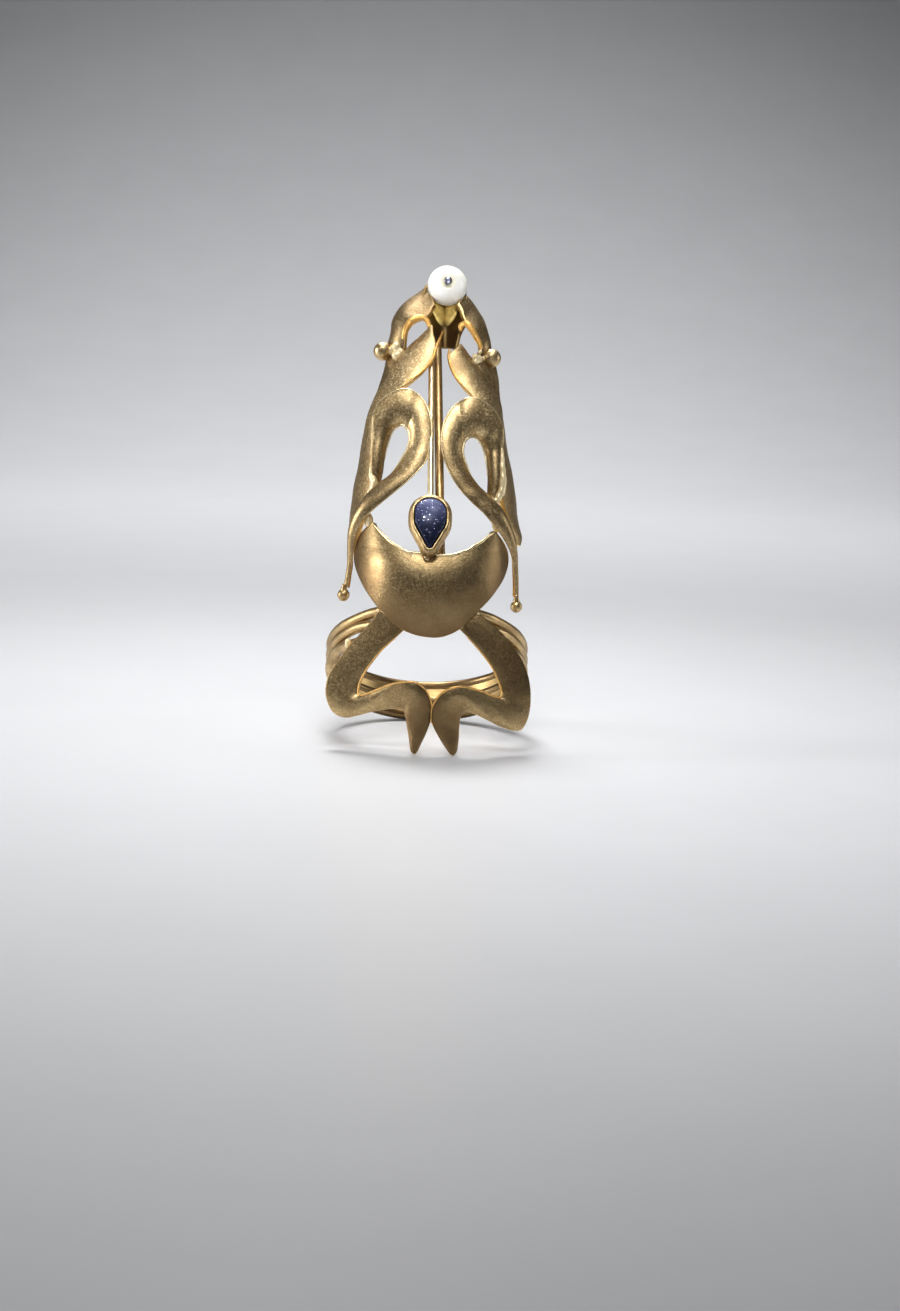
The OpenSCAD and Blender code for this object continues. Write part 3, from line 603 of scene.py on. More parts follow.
def edged(rows, along, columns=14):
    """Grid of a domed ribbon between the two edges in the rows of a table."""
    r = curve(rows, steps(rows, along))
    outer, inner = r[:, OUTER], r[:, INNER]
    across = inner - outer
    out = np.cross(across, np.gradient((outer + inner) / 2, axis=0))
    facing = np.sign((out @ TO_FRONT).sum())
    out = unit(out) * facing
    half = (np.linalg.norm(across, axis=1) / 2)[:, None, None]
    bend = (2 * np.arctan(r[:, 6]))[:, None, None]
    u = np.linspace(-1, 1, columns + 1)[None, :, None]
    grid = ((outer + inner)[:, None] / 2 + across[:, None] / 2 * np.sin(bend * u) / np.sin(bend)
            + out[:, None] * half * (np.cos(bend * u) - np.cos(bend)) / np.sin(bend))
    return grid if facing > 0 else grid[:, ::-1]


def ribbon_edges(grid, rows):
    """Outer and inner edge of a ribbon, each with the line next to it."""
    edges = (grid[:, 0], grid[:, 1]), (grid[:, -1], grid[:, -2])
    corner = np.array(rows[0])[OUTER]
    first, last = (np.linalg.norm(grid[0, k] - corner) for k in (0, -1))
    return edges if first < last else edges[::-1]


def bands(count, sides, last):
    """Faces from each ring up to the last one to its next ring, around again at the end."""
    faces = []
    for i in range(last):
        j = (i + 1) % count
        for a in range(sides):
            b = (a + 1) % sides
            faces.append((i * sides + a, i * sides + b, j * sides + b, j * sides + a))
    return faces


def ring_faces(count, sides):
    """Faces of a closed mesh whose points are a number of rings and then a middle point for each end."""
    faces = bands(count, sides, count - 1)
    top, first, last = (count - 1) * sides, count * sides, count * sides + 1
    for a in range(sides):
        b = (a + 1) % sides
        faces += [(b, a, first), (top + a, top + b, last)]
    return faces


def ringed(rings, first, last):
    """Closed mesh from rings of equal length with a middle point at each end."""
    return np.concatenate(list(rings) + [[first], [last]]), ring_faces(len(rings), len(rings[0]))


def tube_mesh(path, radius, sides=20, caps=3):
    """Closed round rod along a path with domed ends."""
    path = np.asarray(path, float)
    radius = np.broadcast_to(np.asarray(radius, float), len(path))
    ahead = unit(np.gradient(path, axis=0))
    dome = np.linspace(0, np.pi / 2, caps + 1)[:-1]
    lead, shrink = np.sin(dome), np.cos(dome)
    start = [path[0] - ahead[0] * radius[0] * s for s in lead[::-1]][:-1]
    end = [path[-1] + ahead[-1] * radius[-1] * s for s in lead[1:]]
    full = np.array(start + list(path) + end)
    radii = np.array(list(radius[0] * shrink[::-1][:-1]) + list(radius) + list(radius[-1] * shrink[1:]))
    ways = np.array([ahead[0]] * len(start) + list(ahead) + [ahead[-1]] * len(end))
    aslant = [0.31, 0.22, 0.93] if abs(ways[0][2]) < 0.9 else [1, 0.2, 0]
    side = unit(np.cross(ways[0], aslant))
    rings = []
    turn = turns(sides)
    for p, w, r in zip(full, ways, radii):
        side = unit(side - w * (side @ w))
        other = np.cross(w, side)
        rings.append(p + r * (np.cos(turn)[:, None] * side + np.sin(turn)[:, None] * other))
    return ringed(rings, path[0] - ahead[0] * radius[0], path[-1] + ahead[-1] * radius[-1])


def join_meshes(parts):
    """One list of points and faces from several."""
    points, faces, base = [], [], 0
    for p, f in parts:
        points.append(np.asarray(p))
        faces += [tuple(v + base for v in q) for q in f]
        base += len(p)
    return np.concatenate(points), faces


def ball_mesh(at, radii, rings=20, sides=32, rough=0.0, fine=1.0):
    """Round lump with slightly uneven skin."""
    radii = np.broadcast_to(np.asarray(radii, float), 3)
    turn = turns(sides)
    lift = np.linspace(-np.pi / 2, np.pi / 2, rings + 2)[1:-1]
    way = np.stack([np.outer(np.cos(lift), np.cos(turn)), np.outer(np.cos(lift), np.sin(turn)),
                    np.outer(np.sin(lift), np.ones(sides))], -1).reshape(-1, 3)
    way = np.concatenate([way, [[0, 0, -1], [0, 0, 1]]])
    points = np.asarray(at) + way * radii
    return points + way * rough * uneven(points, fine)[:, None], ring_faces(rings, sides)


def melt(parts, voxel=0.07, rounds=5, rough=0.03):
    """One smooth closed mesh around overlapping lumps, as solder runs together."""
    points, faces = join_meshes(parts)
    lump = put("lumps", smooth_mesh("lumps", points.tolist(), faces))
    remesh = lump.modifiers.new("remesh", "REMESH")
    remesh.mode, remesh.voxel_size = "VOXEL", voxel
    smooth = lump.modifiers.new("smooth", "SMOOTH")
    smooth.factor, smooth.iterations = 0.5, rounds
    made = lump.evaluated_get(bpy.context.evaluated_depsgraph_get()).to_mesh()
    points = np.array([v.co[:] for v in made.vertices])
    ways = np.array([v.normal[:] for v in made.vertices])
    faces = [tuple(p.vertices) for p in made.polygons]
    bpy.data.objects.remove(lump)
    return points + rough * uneven(points, fine=2.6)[:, None] * ways, faces


def bead_row(rows, gap=0.12):
    """Overlapping lumps along a table of places and radii."""
    path = curve(rows, steps(rows, int(len(rows) / gap)))
    return [ball_mesh(p[:3], p[3], 12, 18) for p in path]


# Materials
def feed(tree, node, inputs):
    """Link or set inputs of a node."""
    for key, value in inputs.items():
        if isinstance(value, bpy.types.NodeSocket):
            tree.links.new(value, node.inputs[key])
        else:
            node.inputs[key].default_value = value


def add(tree, kind, inputs=None, **settings):
    """New node with its settings and inputs."""
    made = tree.nodes.new("ShaderNode" + kind)
    for key, value in settings.items():
        setattr(made, key, value)
    feed(tree, made, inputs or {})
    return made


def mixed(tree, factor, a, b):
    """Colour between a and b; 0, 6 and 7 are the node's factor and its two colours."""
    return add(tree, "Mix", {0: factor, 6: a, 7: b}, data_type="RGBA").outputs[2]


def maths(tree, kind, a, b=0.0):
    """Result of a Math node of a kind such as ADD."""
    return add(tree, "Math", {0: a, 1: b}, operation=kind).outputs[0]


def ranged(tree, value, low, high, to_low, to_high):
    """Value from low to high taken to the range from to_low to to_high."""
    return add(tree, "MapRange", {"Value": value, "From Min": low, "From Max": high,
                                  "To Min": to_low, "To Max": to_high}).outputs[0]


def attribute(tree, name):
    """Value that build() stored with the points."""
    return add(tree, "Attribute", attribute_name=name).outputs["Fac"]


def noise(tree, at, scale, detail=2.0, stretch=None):
    """Noise from 0 to 1; stretch gives it a scale of its own in X, Y and Z."""
    if stretch:
        at = add(tree, "Mapping", {"Vector": at, "Scale": stretch}).outputs[0]
    return add(tree, "TexNoise", {"Vector": at, "Scale": scale, "Detail": detail}).outputs["Fac"]


def bump(tree, height, distance, strength, below=None):
    """Normal of a bumpy surface, on top of another bump below it."""
    inputs = {"Height": height, "Distance": distance, "Strength": strength}
    return add(tree, "Bump", inputs if below is None else {**inputs, "Normal": below}).outputs[0]


def material(name):
    """New material with its node tree, its shader and the place on the piece."""
    made = bpy.data.materials.new(name)
    made.use_nodes = True
    tree = made.node_tree
    return made, tree, tree.nodes["Principled BSDF"], add(tree, "TexCoord").outputs["Object"]


# Colours of the gold, from light to deep, and those of the pocket; YELLOW is a painted highlight on sheet
# rims, ORANGE a painted warm reflection on sheet backs, UMBER painted shade, and the pocket's colours paint
# its shade and its lit lobes
BEIGE = (0.61, 0.44, 0.215, 1)
BROWN = (0.37, 0.25, 0.115, 1)
DARK = (0.20, 0.14, 0.07, 1)
PALE = (0.95, 0.80, 0.49, 1)
YELLOW = (0.84, 0.59, 0.26, 1)
ORANGE = (0.66, 0.46, 0.20, 1)
UMBER = (0.15, 0.09, 0.04, 1)
AMBER = (0.95, 0.50, 0.10, 1)
POCKET_SHADE = (0.13, 0.08, 0.03, 1)
LOBE_LIT = (1.0, 0.74, 0.22, 1)
# Colours of the stone
NIGHT = (0.002, 0.0025, 0.009, 1)
NAVY = (0.008, 0.010, 0.036, 1)
STONE_LIT_TOP = (0.035, 0.04, 0.12, 1)
FLAKE = (0.45, 0.48, 0.75, 1)
BLUE_GLINT = (0.50, 0.58, 1.0, 1)
# Colours of the pearl and its pin, and of the floor
PEARL_WHITE = (0.94, 0.94, 0.90, 1)
PEARL_CREAM = (0.92, 0.90, 0.80, 1)
PEARL_STAIN = (0.80, 0.74, 0.50, 1)
STEEL_DARK = (0.12, 0.13, 0.18, 1)
STEEL_LIGHT = (0.40, 0.41, 0.50, 1)
FLOOR_DARK = (0.53, 0.535, 0.55, 1)
FLOOR_LIGHT = (0.57, 0.575, 0.59, 1)
ROOM = (0.05, 0.0515, 0.055, 1)
# Noise scales per metre, and heights of bumps in metres
PATCHES = 420
DENTS = 900
GRAINS = 5600
ALL_WAYS = (3000, 3000, 3000)
DENT_BUMP = 0.00003
BRUSH_BUMP = 0.000012
GRAIN_BUMP = 0.00003
FLAKE_BUMP = 0.00005


def gold(name, rough, stretch=ALL_WAYS, grain=0.1, streaks=0.4, edge=False, bright=0.0, frost=0.1,
         warm=0.0, metal=1.0):
    """Satin gold: worn patches, frosted grain and brush marks.

    stretch, grain and streaks shape brush marks and bumps; edge gives sheet rims a painted yellow highlight
    and less roughness, and the sheet's back a painted warm orange reflection;
    bright, frost and warm shift the colour; metal is how metallic it is."""
    made, tree, shader, at = material(name)
    patches = ranged(tree, noise(tree, at, PATCHES, 4), 0.38, 0.64, 0, 1)
    colour = mixed(tree, warm, mixed(tree, patches, BEIGE, BROWN), AMBER)
    grains = noise(tree, at, GRAINS, 3)
    brushed = noise(tree, at, 1, 3, stretch)
    colour = mixed(tree, ranged(tree, brushed, 0.35, 0.65, 0, 0.45), colour, BROWN)
    colour = mixed(tree, ranged(tree, grains, 0.28, 0.50, 0.4 * frost, 0), colour, DARK)
    colour = mixed(tree, ranged(tree, grains, 0.50, 0.72, bright, bright + 0.75 * frost), colour, PALE)
    roughness = maths(tree, "ADD", ranged(tree, grains, 0.3, 0.7, rough - 0.07, rough + 0.09),
                      ranged(tree, patches, 0, 1, -0.03, 0.05))
    # Painted shade: the attribute dark darkens the gold towards UMBER
    colour = mixed(tree, attribute(tree, "dark"), colour, UMBER)
    # Painted light on sheets: a yellow highlight on the rims and a warm orange reflection on the backs
    if edge:
        tone = attribute(tree, "tone")
        colour = mixed(tree, ranged(tree, tone, 0.55, 0.95, 0, 1), colour, ORANGE)
        from_edge = maths(tree, "ABSOLUTE", maths(tree, "SUBTRACT", tone, 0.5))
        on_edge = ranged(tree, from_edge, 0.05, 0.42, 1, 0)
        colour = mixed(tree, on_edge, colour, YELLOW)
        roughness = maths(tree, "ADD", roughness, maths(tree, "MULTIPLY", on_edge, -0.1))
    dents = bump(tree, noise(tree, at, DENTS, 2), DENT_BUMP, 0.5)
    marks = bump(tree, brushed, BRUSH_BUMP, streaks, dents)
    feed(tree, shader, {"Base Color": colour, "Roughness": roughness, "Metallic": metal,
                        "Normal": bump(tree, grains, GRAIN_BUMP, grain, marks)})
    return made


def pocket_gold():
    """Gold of the hood's pocket: painted shade inside with two lobes painted as lit, plain where the
    attribute dark is 1.
    """
    made, tree, shader, at = material("gold_pocket")
    cloudy = ranged(tree, noise(tree, at, 2400, 3), 0.3, 0.7, 0.75, 1.1)
    tone = maths(tree, "MULTIPLY", attribute(tree, "tone"), cloudy)
    plain = attribute(tree, "dark")
    inside = mixed(tree, tone, POCKET_SHADE, LOBE_LIT)
    outside = mixed(tree, ranged(tree, noise(tree, at, GRAINS, 3), 0.3, 0.7, 0, 0.4), BROWN, PALE)
    metal = maths(tree, "MAXIMUM", ranged(tree, tone, 0, 1, 0.9, 0.15), plain)
    colour = mixed(tree, plain, inside, outside)
    feed(tree, shader, {"Base Color": colour, "Metallic": metal, "Roughness": 0.45})
    return made


PLATE = gold("gold_plate", 0.38, (900, 900, 7000), grain=0.5, edge=True, frost=0.5)
RIBBON = gold("gold_ribbon", 0.42, (5000, 1500, 1500), grain=0.5, streaks=0.3, edge=True, frost=1.0)
WIRE = gold("gold_wire", 0.38, (1200, 1200, 6000), grain=0.2, frost=0.3)
# The front rod's paler colour is a painted highlight
ROD = gold("gold_rod", 0.36, (2500, 2500, 1200), grain=0.2, bright=0.9)
BALL = gold("gold_ball", 0.40, (2000, 2000, 4000), grain=0.3, bright=0.1, frost=0.5)
# Rolled edges and lips: warm, less metallic gold, a painted warm bounce light
ROLLED = gold("gold_roll", 0.38, grain=0.2, frost=0.3, warm=0.9, metal=0.6)
# LINE, GLOW and SHINE paint highlights along edges with lighter and warmer gold, GLOW and SHINE also less
# metallic
LINE = gold("gold_line", 0.34, bright=0.8, warm=0.3)
GLOW = gold("gold_glow", 0.34, bright=0.1, warm=0.9, metal=0.6)
SHINE = gold("gold_shine", 0.34, bright=0.9, metal=0.5)
SOLDER = gold("gold_solder", 0.36, grain=0.2, bright=0.8, frost=0.2, warm=0.4, metal=0.35)
POCKET_GOLD = pocket_gold()


# Crescent
def front_at(z):
    """Y of the ring's front line at a height."""
    up = z - BEND_Z
    return FRONT_Y + FRONT_SLOPE * (up + np.sqrt(up * up + BEND_SOFT ** 2)) / 2


def crescent_grid(across=190, up=36):
    """Crescent's grid, from its lower edge up; notch and waves only reach its upper edge."""
    r = curve(CRESCENT, steps(CRESCENT, across))[None]
    v = np.linspace(0, 1, up + 1)[:, None]
    x, z = between(r, 0, 2, v), between(r, 1, 3, v)
    side = np.linspace(-1, 1, across + 1)[None]
    z = z - v ** 14 * NOTCH_DEPTH * np.exp(-((x - NOTCH_X) / NOTCH_W) ** 2)
    waves = np.sin(5 * x) + np.sin(3.3 * x + 1) + 0.6 * np.sin(11 * x)
    z = z + v ** 20 * CUT_WAVE * waves * (1 - side ** 4)
    deep = 0.6 + 0.4 * np.clip((z - 12) / 8, 0, 1)
    y = (front_at(z) + CRESCENT_DEPTH * deep * (1 - np.sqrt(1 - (x / CRESCENT_HALF_W) ** 2))
         - BELLY * (1 - (2 * v - 1) ** 2) * (1 - side ** 2))
    return np.stack([x, y, z], -1)


grid = crescent_grid()
# Painted shade, darker towards the crescent's bottom
dull = CRESCENT_SHADE * np.clip(1 - 1.1 * np.linspace(0, 1, len(grid)), 0, 1)
sheet("crescent", grid, SHEET, PLATE, dull[:, None], rim=0.07, square=0.45)
line_on("crescent_edge", grid[-1, 3:-3], grid[-2, 3:-3], radius=0.17, out=0.0, material=LINE)


# Arms and claws
def arm_grid(rows, side, along=170, columns=20):
    """Grid of an arm with its claw; side is -1 for the left one and 1 for the right one."""
    s = steps(rows, along)
    r = curve(rows, s)[:, None]
    v = np.linspace(0, 1, columns + 1)[None]
    bulge = ARM_BULGE + (CLAW_BULGE - ARM_BULGE) * np.clip((s - CLAW_FROM) / 3, 0, 1)
    width = np.hypot(r[..., 0] - r[..., 2], r[..., 1] - r[..., 3])
    bulge = bulge[:, None] * np.clip(width / 2, 0, 1)
    y = between(r, 4, 5, v) - bulge * (1 - abs(2 * v - 1) ** 2.6)
    grid = np.stack([side * between(r, 0, 2, v), y, between(r, 1, 3, v)], -1)
    return grid if side > 0 else grid[:, ::-1]


for k, (name, side) in enumerate(SIDES):
    rows = [row[4 * k:4 * k + 4] + row[8:] for row in ARMS]
    grid = arm_grid(rows, side)
    thin = np.clip((np.linspace(0, 1, len(grid)) - THIN_FROM) / (1 - THIN_FROM), 0, 1)
    # Painted shade on the arms and claws, row by row
    dull = painted_shade_rows(grid, rows, ARM_SHADE[name])
    sheet("arm_" + name, grid, ARM_SHEET - THINNER * thin, PLATE, dull, rim=0.08)
    edge, inside = (-1, -2) if side > 0 else (0, 1)
    line = grid[ARM_LINE, edge], grid[ARM_LINE, inside]
    line_on("arm_edge_" + name, *line, radius=0.12, out=0.02, material=GLOW)


# Necks with walls, loops with tails and the drops on them, and the wings of the hood
# Necks, loops and wings get painted shade, the necks and loops row by row
for name, rows in (("left", LEFT_NECK), ("right", RIGHT_NECK)):
    grid = edged(rows, 190)
    sheet("neck_" + name, grid, SHEET, RIBBON, painted_shade_rows(grid, rows, NECK_SHADE[name]), rim=0.1)
for name, rows in (("left", LEFT_LOOP), ("right", RIGHT_LOOP)):
    grid = edged(rows, 260, 18)
    sheet("loop_" + name, grid, LOOP_SHEET, RIBBON, painted_shade_rows(grid, rows, LOOP_SHADE), rim=0.08)
    outer, inner = ribbon_edges(grid, rows)
    line = [edge[LOOP_OUTER_LINE] for edge in outer]
    line_on("loop_edge_outer_" + name, *line, radius=0.075, out=0.05, material=LINE)
    line = [edge[LOOP_INNER_LINE] for edge in inner]
    line_on("loop_edge_inner_" + name, *line, radius=0.15, out=-0.05, material=SHINE)
for name, rows in (("wing_left", LEFT_WING), ("wing_right", RIGHT_WING)):
    sheet(name, edged(rows, 130, 20), SHEET, RIBBON, WING_SHADE, rim=0.1)
for (name, side), at in zip(SIDES, DROPS):
    at = np.array(at)
    stem = [at + (-0.04 * side, 0, 1.0), at + (-0.03 * side, 0, 0.7), at + (0, 0, 0.3)]
    drop = join_meshes([ball_mesh(at, DROP_R, rough=0.03), tube_mesh(stem, [0.24, 0.3, 0.45])])
    build("drop_" + name, *drop, WIRE)
for name, rows in (("rolled_edge_left", LEFT_ROLL), ("rolled_edge_right", RIGHT_ROLL)):
    path = curve(rows, steps(rows, 60))
    build(name, *tube_mesh(path, swollen(len(path), ROLL_R, ROLL_SWELL, 0.7)), ROLLED)


# Pocket of the hood
def pocket_grid(around=72, up=44):
    """Pocket's grid, with its outside at the back, and how far each point belongs to one of the two lobes."""
    r = curve(POCKET, steps(POCKET, up))[:, None]
    u = np.linspace(1, -1, around + 1)[None, :, None]
    edge = np.where(u > 0, r[..., 3:6], r[..., 0:3])
    seam = r[..., 6:9]
    turn = abs(u) * np.pi / 2
    x = seam[..., :1] + (edge[..., :1] - seam[..., :1]) * np.sin(turn)
    y = edge[..., 1:2] + (seam[..., 1:2] - edge[..., 1:2]) * np.cos(turn)
    z = seam[..., 2:] + (edge[..., 2:] - seam[..., 2:]) * u ** 2
    rise = np.clip((z - LOBE_LOW) / (LOBE_HIGH - LOBE_LOW), 0, 1)
    lobes = np.exp(-((abs(u) - 0.1 - 0.19 * rise) / (0.06 + 0.17 * rise)) ** 4) * np.clip(3 * rise, 0, 1)
    return np.concatenate([x, y - LOBE * lobes, z], -1), lobes[..., 0]


grid, lobes = pocket_grid()
points, faces, tone = sheet_mesh(grid, POCKET_SHEET, rim=0.06)
# The inside of the pocket is the sheet's back, painted dark as shade except for two lobes painted as lit
tone[:] = 0.05
tone[lobes.size:2 * lobes.size] = lobes.ravel()
plain = np.zeros(len(points))
plain[:lobes.size] = 1
build("hood", seated(points), faces, POCKET_GOLD, tone, dark=plain)

# Lips along the necks
for name, rows in (("neck_lip_left", LEFT_LIP), ("neck_lip_right", RIGHT_LIP)):
    path = curve(rows, steps(rows, 70))
    build(name, *tube_mesh(path, swollen(len(path), LIP_R, LIP_SWELL), 16), ROLLED)

# Beads with their solder
for (name, side), at, rows in zip(SIDES, BEADS, (LEFT_SOLDER, RIGHT_SOLDER)):
    build("bead_" + name, *ball_mesh(at, BEAD_R, rings=32, sides=48, rough=0.02), BALL)
    build("bead_solder_" + name, *melt([ball_mesh(r[:3], r[3]) for r in rows], rounds=22), SOLDER)
for name, rows in (("loop_solder_left", LEFT_SEAM), ("loop_solder_right", RIGHT_SEAM)):
    build(name, *melt(bead_row(rows), rough=0.06), SOLDER)

# Rods, not quite straight
for name, (top, foot, radius), metal in (("rod_front", FRONT_ROD, ROD), ("rod_rear", REAR_ROD, WIRE)):
    t = np.linspace(0, 1, 60)[:, None]
    path = np.array(top) * (1 - t) + np.array(foot) * t
    path = path + 0.02 * np.sin(5 * t + radius) * (1, 0, 0)
    build(name, *tube_mesh(path, radius, 28), metal)


# Cup and stone
def at_stone(points):
    """Points from the stone's own frame: X right, Y up along the stone and Z out of its girdle."""
    tilt = np.radians(90 - STONE_LEAN)
    right, up = np.array([1, 0, 0]), np.array([0, np.cos(tilt), np.sin(tilt)])
    out = np.array([0, -np.sin(tilt), np.cos(tilt)])
    points = np.asarray(points)
    return np.array(STONE_AT) + points[..., 0:1] * right + points[..., 1:2] * up + points[..., 2:3] * out


def pear(grow):
    """Outline of the stone grown outwards, in even steps."""
    head = STONE_W / 2
    tip_y = head + STONE_TIP_R - STONE_L
    lean = np.arcsin((head - STONE_TIP_R) / (-tip_y - STONE_BELLY))
    arc = np.linspace(-lean, np.pi + lean, OUTLINE * 3 // 4)
    nose = np.linspace(np.pi + lean, 2 * np.pi - lean, OUTLINE // 4 + 2)[1:-1]
    big = np.stack([np.cos(arc), np.sin(arc)], 1) * (head + grow)
    big[np.sin(arc) < 0, 1] -= STONE_BELLY
    small = np.stack([np.cos(nose), np.sin(nose)], 1) * (STONE_TIP_R + grow) + (0, tip_y)
    closed = np.concatenate([big, small, big[:1]])
    length = np.concatenate([[0], np.cumsum(np.linalg.norm(np.diff(closed, axis=0), axis=1))])
    even = np.linspace(0, length[-1], OUTLINE, endpoint=False)
    return np.stack([np.interp(even, length, closed[:, k]) for k in (0, 1)], 1)


def cup():
    """Cup around the stone, with a slightly ragged rim."""
    rings = []
    turn = turns(OUTLINE)
    ragged = 0.5 * np.sin(7 * turn) + 0.4 * np.sin(12 * turn + 1) + 0.3 * np.sin(19 * turn + 2)
    for grow, height in CUP:
        rim = max(0, height)
        loop = pear(grow) * (1 + 0.012 * ragged[:, None] * rim)
        rings.append(at_stone(np.column_stack([loop, height + CUP_RAGGED * ragged * rim])))
    bottom, floor = (at_stone(np.array([0, STONE_MID / 2, z])) for z in (CUP_BOTTOM, CUP_FLOOR))
    return ringed(rings, bottom, floor)


build("cup", *cup(), PLATE)
legs = [tube_mesh(np.array(rows)[:, :3], np.array(rows)[:, 3]) for rows in (LEFT_LEG, RIGHT_LEG)]
build("cup_legs", *join_meshes(legs), WIRE)


def stone():
    """Stone with a low dome over a flat base."""
    outline = pear(-STONE_PLAY)
    rings = [at_stone(np.column_stack([outline, np.full(OUTLINE, STONE_BASE)]))]
    for part in np.linspace(1, 0.06, 18):
        loop = outline * part + (0, STONE_MID * (1 - part))
        far = loop[:, 0] ** 2 + (loop[:, 1] - STONE_MID) ** 2
        height = STONE_TOP - STONE_DOME_R + np.sqrt(STONE_DOME_R ** 2 - far)
        rings.append(at_stone(np.column_stack([loop, height])))
    bottom, top = (at_stone(np.array([0, STONE_MID, z])) for z in (STONE_BASE, STONE_TOP))
    return ringed(rings, bottom, top)


def stone_material():
    """Dark blue stone with small bright flakes, and a painted highlight that makes it lighter towards its
    top.
    """
    made, tree, shader, at = material("blue_stone")
    cells = add(tree, "TexVoronoi", {"Vector": at, "Scale": 8500}, feature="F1")
    pick = add(tree, "SeparateColor", {"Color": cells.outputs["Color"]})
    flakes = ranged(tree, pick.outputs[0], 0.94, 0.97, 0, 1)
    clouds = ranged(tree, noise(tree, at, 900, 3), 0.4, 0.65, 0, 1)
    body = mixed(tree, attribute(tree, "tone"), mixed(tree, clouds, NIGHT, NAVY), STONE_LIT_TOP)
    feed(tree, shader, {
        "Base Color": mixed(tree, flakes, body, FLAKE),
        "Metallic": ranged(tree, flakes, 0, 1, 0.0, 0.9),
        "Roughness": ranged(tree, flakes, 0, 1, 0.42, 0.25),
        "Normal": bump(tree, pick.outputs[1], FLAKE_BUMP, 0.6),
        "Specular Tint": BLUE_GLINT,
        "Coat Weight": 0.12,
        "Coat Roughness": 0.18})
    return made


points, faces = stone()
# high says how far up the stone each point is; the stone is painted lighter there as a highlight
high = np.clip((points[:, 2] - STONE_AT[2] + 0.6) / 2.2, 0, 1)
build("stone", points, faces, stone_material(), high, node="pear_stone", slot="stone")


# Pearl and pin
def along_pin(profile, sides):
    """Rings about the pin's axis from (radius, place) pairs, place growing to the front."""
    tilt = np.radians(PIN_TILT)
    front, up = np.array([0, -np.cos(tilt), np.sin(tilt)]), np.array([0, np.sin(tilt), np.cos(tilt)])
    turn = turns(sides)
    way = np.cos(turn)[:, None] * np.array([1, 0, 0]) + np.sin(turn)[:, None] * up
    return [np.array(PEARL_AT) + way * r + front * a for r, a in profile]


def pearl(sides=72):
    """Drilled pearl, and for each point how near it is to the stained hole."""
    reach = np.arcsin(HOLE_R / PEARL_R)
    bow = -np.pi / 2 + reach + (np.pi - 2 * reach) * np.linspace(0, 1, 60)
    radius, place = PEARL_R * np.cos(bow), PEARL_R * np.sin(bow)
    place = place - np.sign(place) * HOLE_DENT * np.exp(-((radius - HOLE_R) / HOLE_DENT_W) ** 2)
    inner = np.linspace(place[-1], place[0], 8)[1:-1]
    rings = along_pin(list(zip(radius, place)) + [(HOLE_R, a) for a in inner], sides)
    faces = [(b, a, d, c) for a, b, c, d in bands(len(rings), sides, len(rings))]
    points = np.concatenate(rings)
    points = points + 0.012 * uneven(points, 0.4)[:, None] * unit(points - np.array(PEARL_AT))
    stain = np.concatenate([np.exp(-((radius - HOLE_R) / STAIN_W) ** 2), np.ones(len(inner))])
    return points, faces, np.repeat(stain, sides)


def pearl_material():
    """Cream white pearl, yellower around its hole."""
    made, tree, shader, at = material("cream_pearl")
    clouds = ranged(tree, noise(tree, at, 520, 3), 0.35, 0.7, 0, 1)
    stain = ranged(tree, attribute(tree, "tone"), 0.1, 1, 0, 0.95)
    feed(tree, shader, {
        "Base Color": mixed(tree, stain, mixed(tree, clouds, PEARL_WHITE, PEARL_CREAM), PEARL_STAIN),
        "Roughness": ranged(tree, clouds, 0, 1, 0.25, 0.35),
        "Subsurface Weight": 0.3,
        "Subsurface Radius": (0.0006, 0.0006, 0.0005),
        "Subsurface Scale": 1,
        "Coat Weight": 0.35,
        "Coat Roughness": 0.15,
        "Sheen Weight": 0.15})
    return made


def steel_material():
    """Grey metal with darker marks."""
    made, tree, shader, at = material("grey_steel")
    marks = noise(tree, at, 4000, 3)
    feed(tree, shader, {"Base Color": mixed(tree, marks, STEEL_DARK, STEEL_LIGHT),
                        "Roughness": ranged(tree, marks, 0.3, 0.7, 0.2, 0.42), "Metallic": 1})
    return made


def pin():
    """Closed mesh of the pin; its rings run the other way around, so its faces are turned."""
    rings = along_pin(PIN, 32)
    points, faces = ringed(rings, rings[0].mean(0), rings[-1].mean(0))
    return points, [f[::-1] for f in faces]


points, faces, stain = pearl()
build("pearl_ball", points, faces, pearl_material(), stain, node="pearl", slot="pearl")
build("pin", *pin(), steel_material(), node="pearl_pin", slot="pin")


# Band
def wire_point(k, angle):
    """Points on the middle line of wire k, by their angle from the front."""
    pitch = PITCH_FRONT + (PITCH_BACK - PITCH_FRONT) * (1 - np.cos(angle)) / 2
    ahead = BAND_R * np.cos(angle)
    return np.stack([BAND_R * np.sin(angle),
                     BAND_Y - ahead * np.cos(BAND_TILT) - k * pitch * np.sin(BAND_TILT),
                     BAND_Z + ahead * np.sin(BAND_TILT) - k * pitch * np.cos(BAND_TILT)], -1)


for k, (start, x, y, z) in enumerate(WIRES):
    start = np.radians(start)
    arc = wire_point(k, np.linspace(start, 2 * np.pi - start, 13))
    nodes = np.concatenate([[[x, y, z]], arc, [[-x, y, z]]])
    path = curve(nodes, steps(nodes, 160))
    points, faces = tube_mesh(path, WIRE_R, 24)
    # Painted shade, darker towards the back of the band
    build(f"band_wire_{k + 1}", points, faces, WIRE, dark=BAND_SHADE * np.clip((points[:, 1] - 9) / 8, 0, 1))


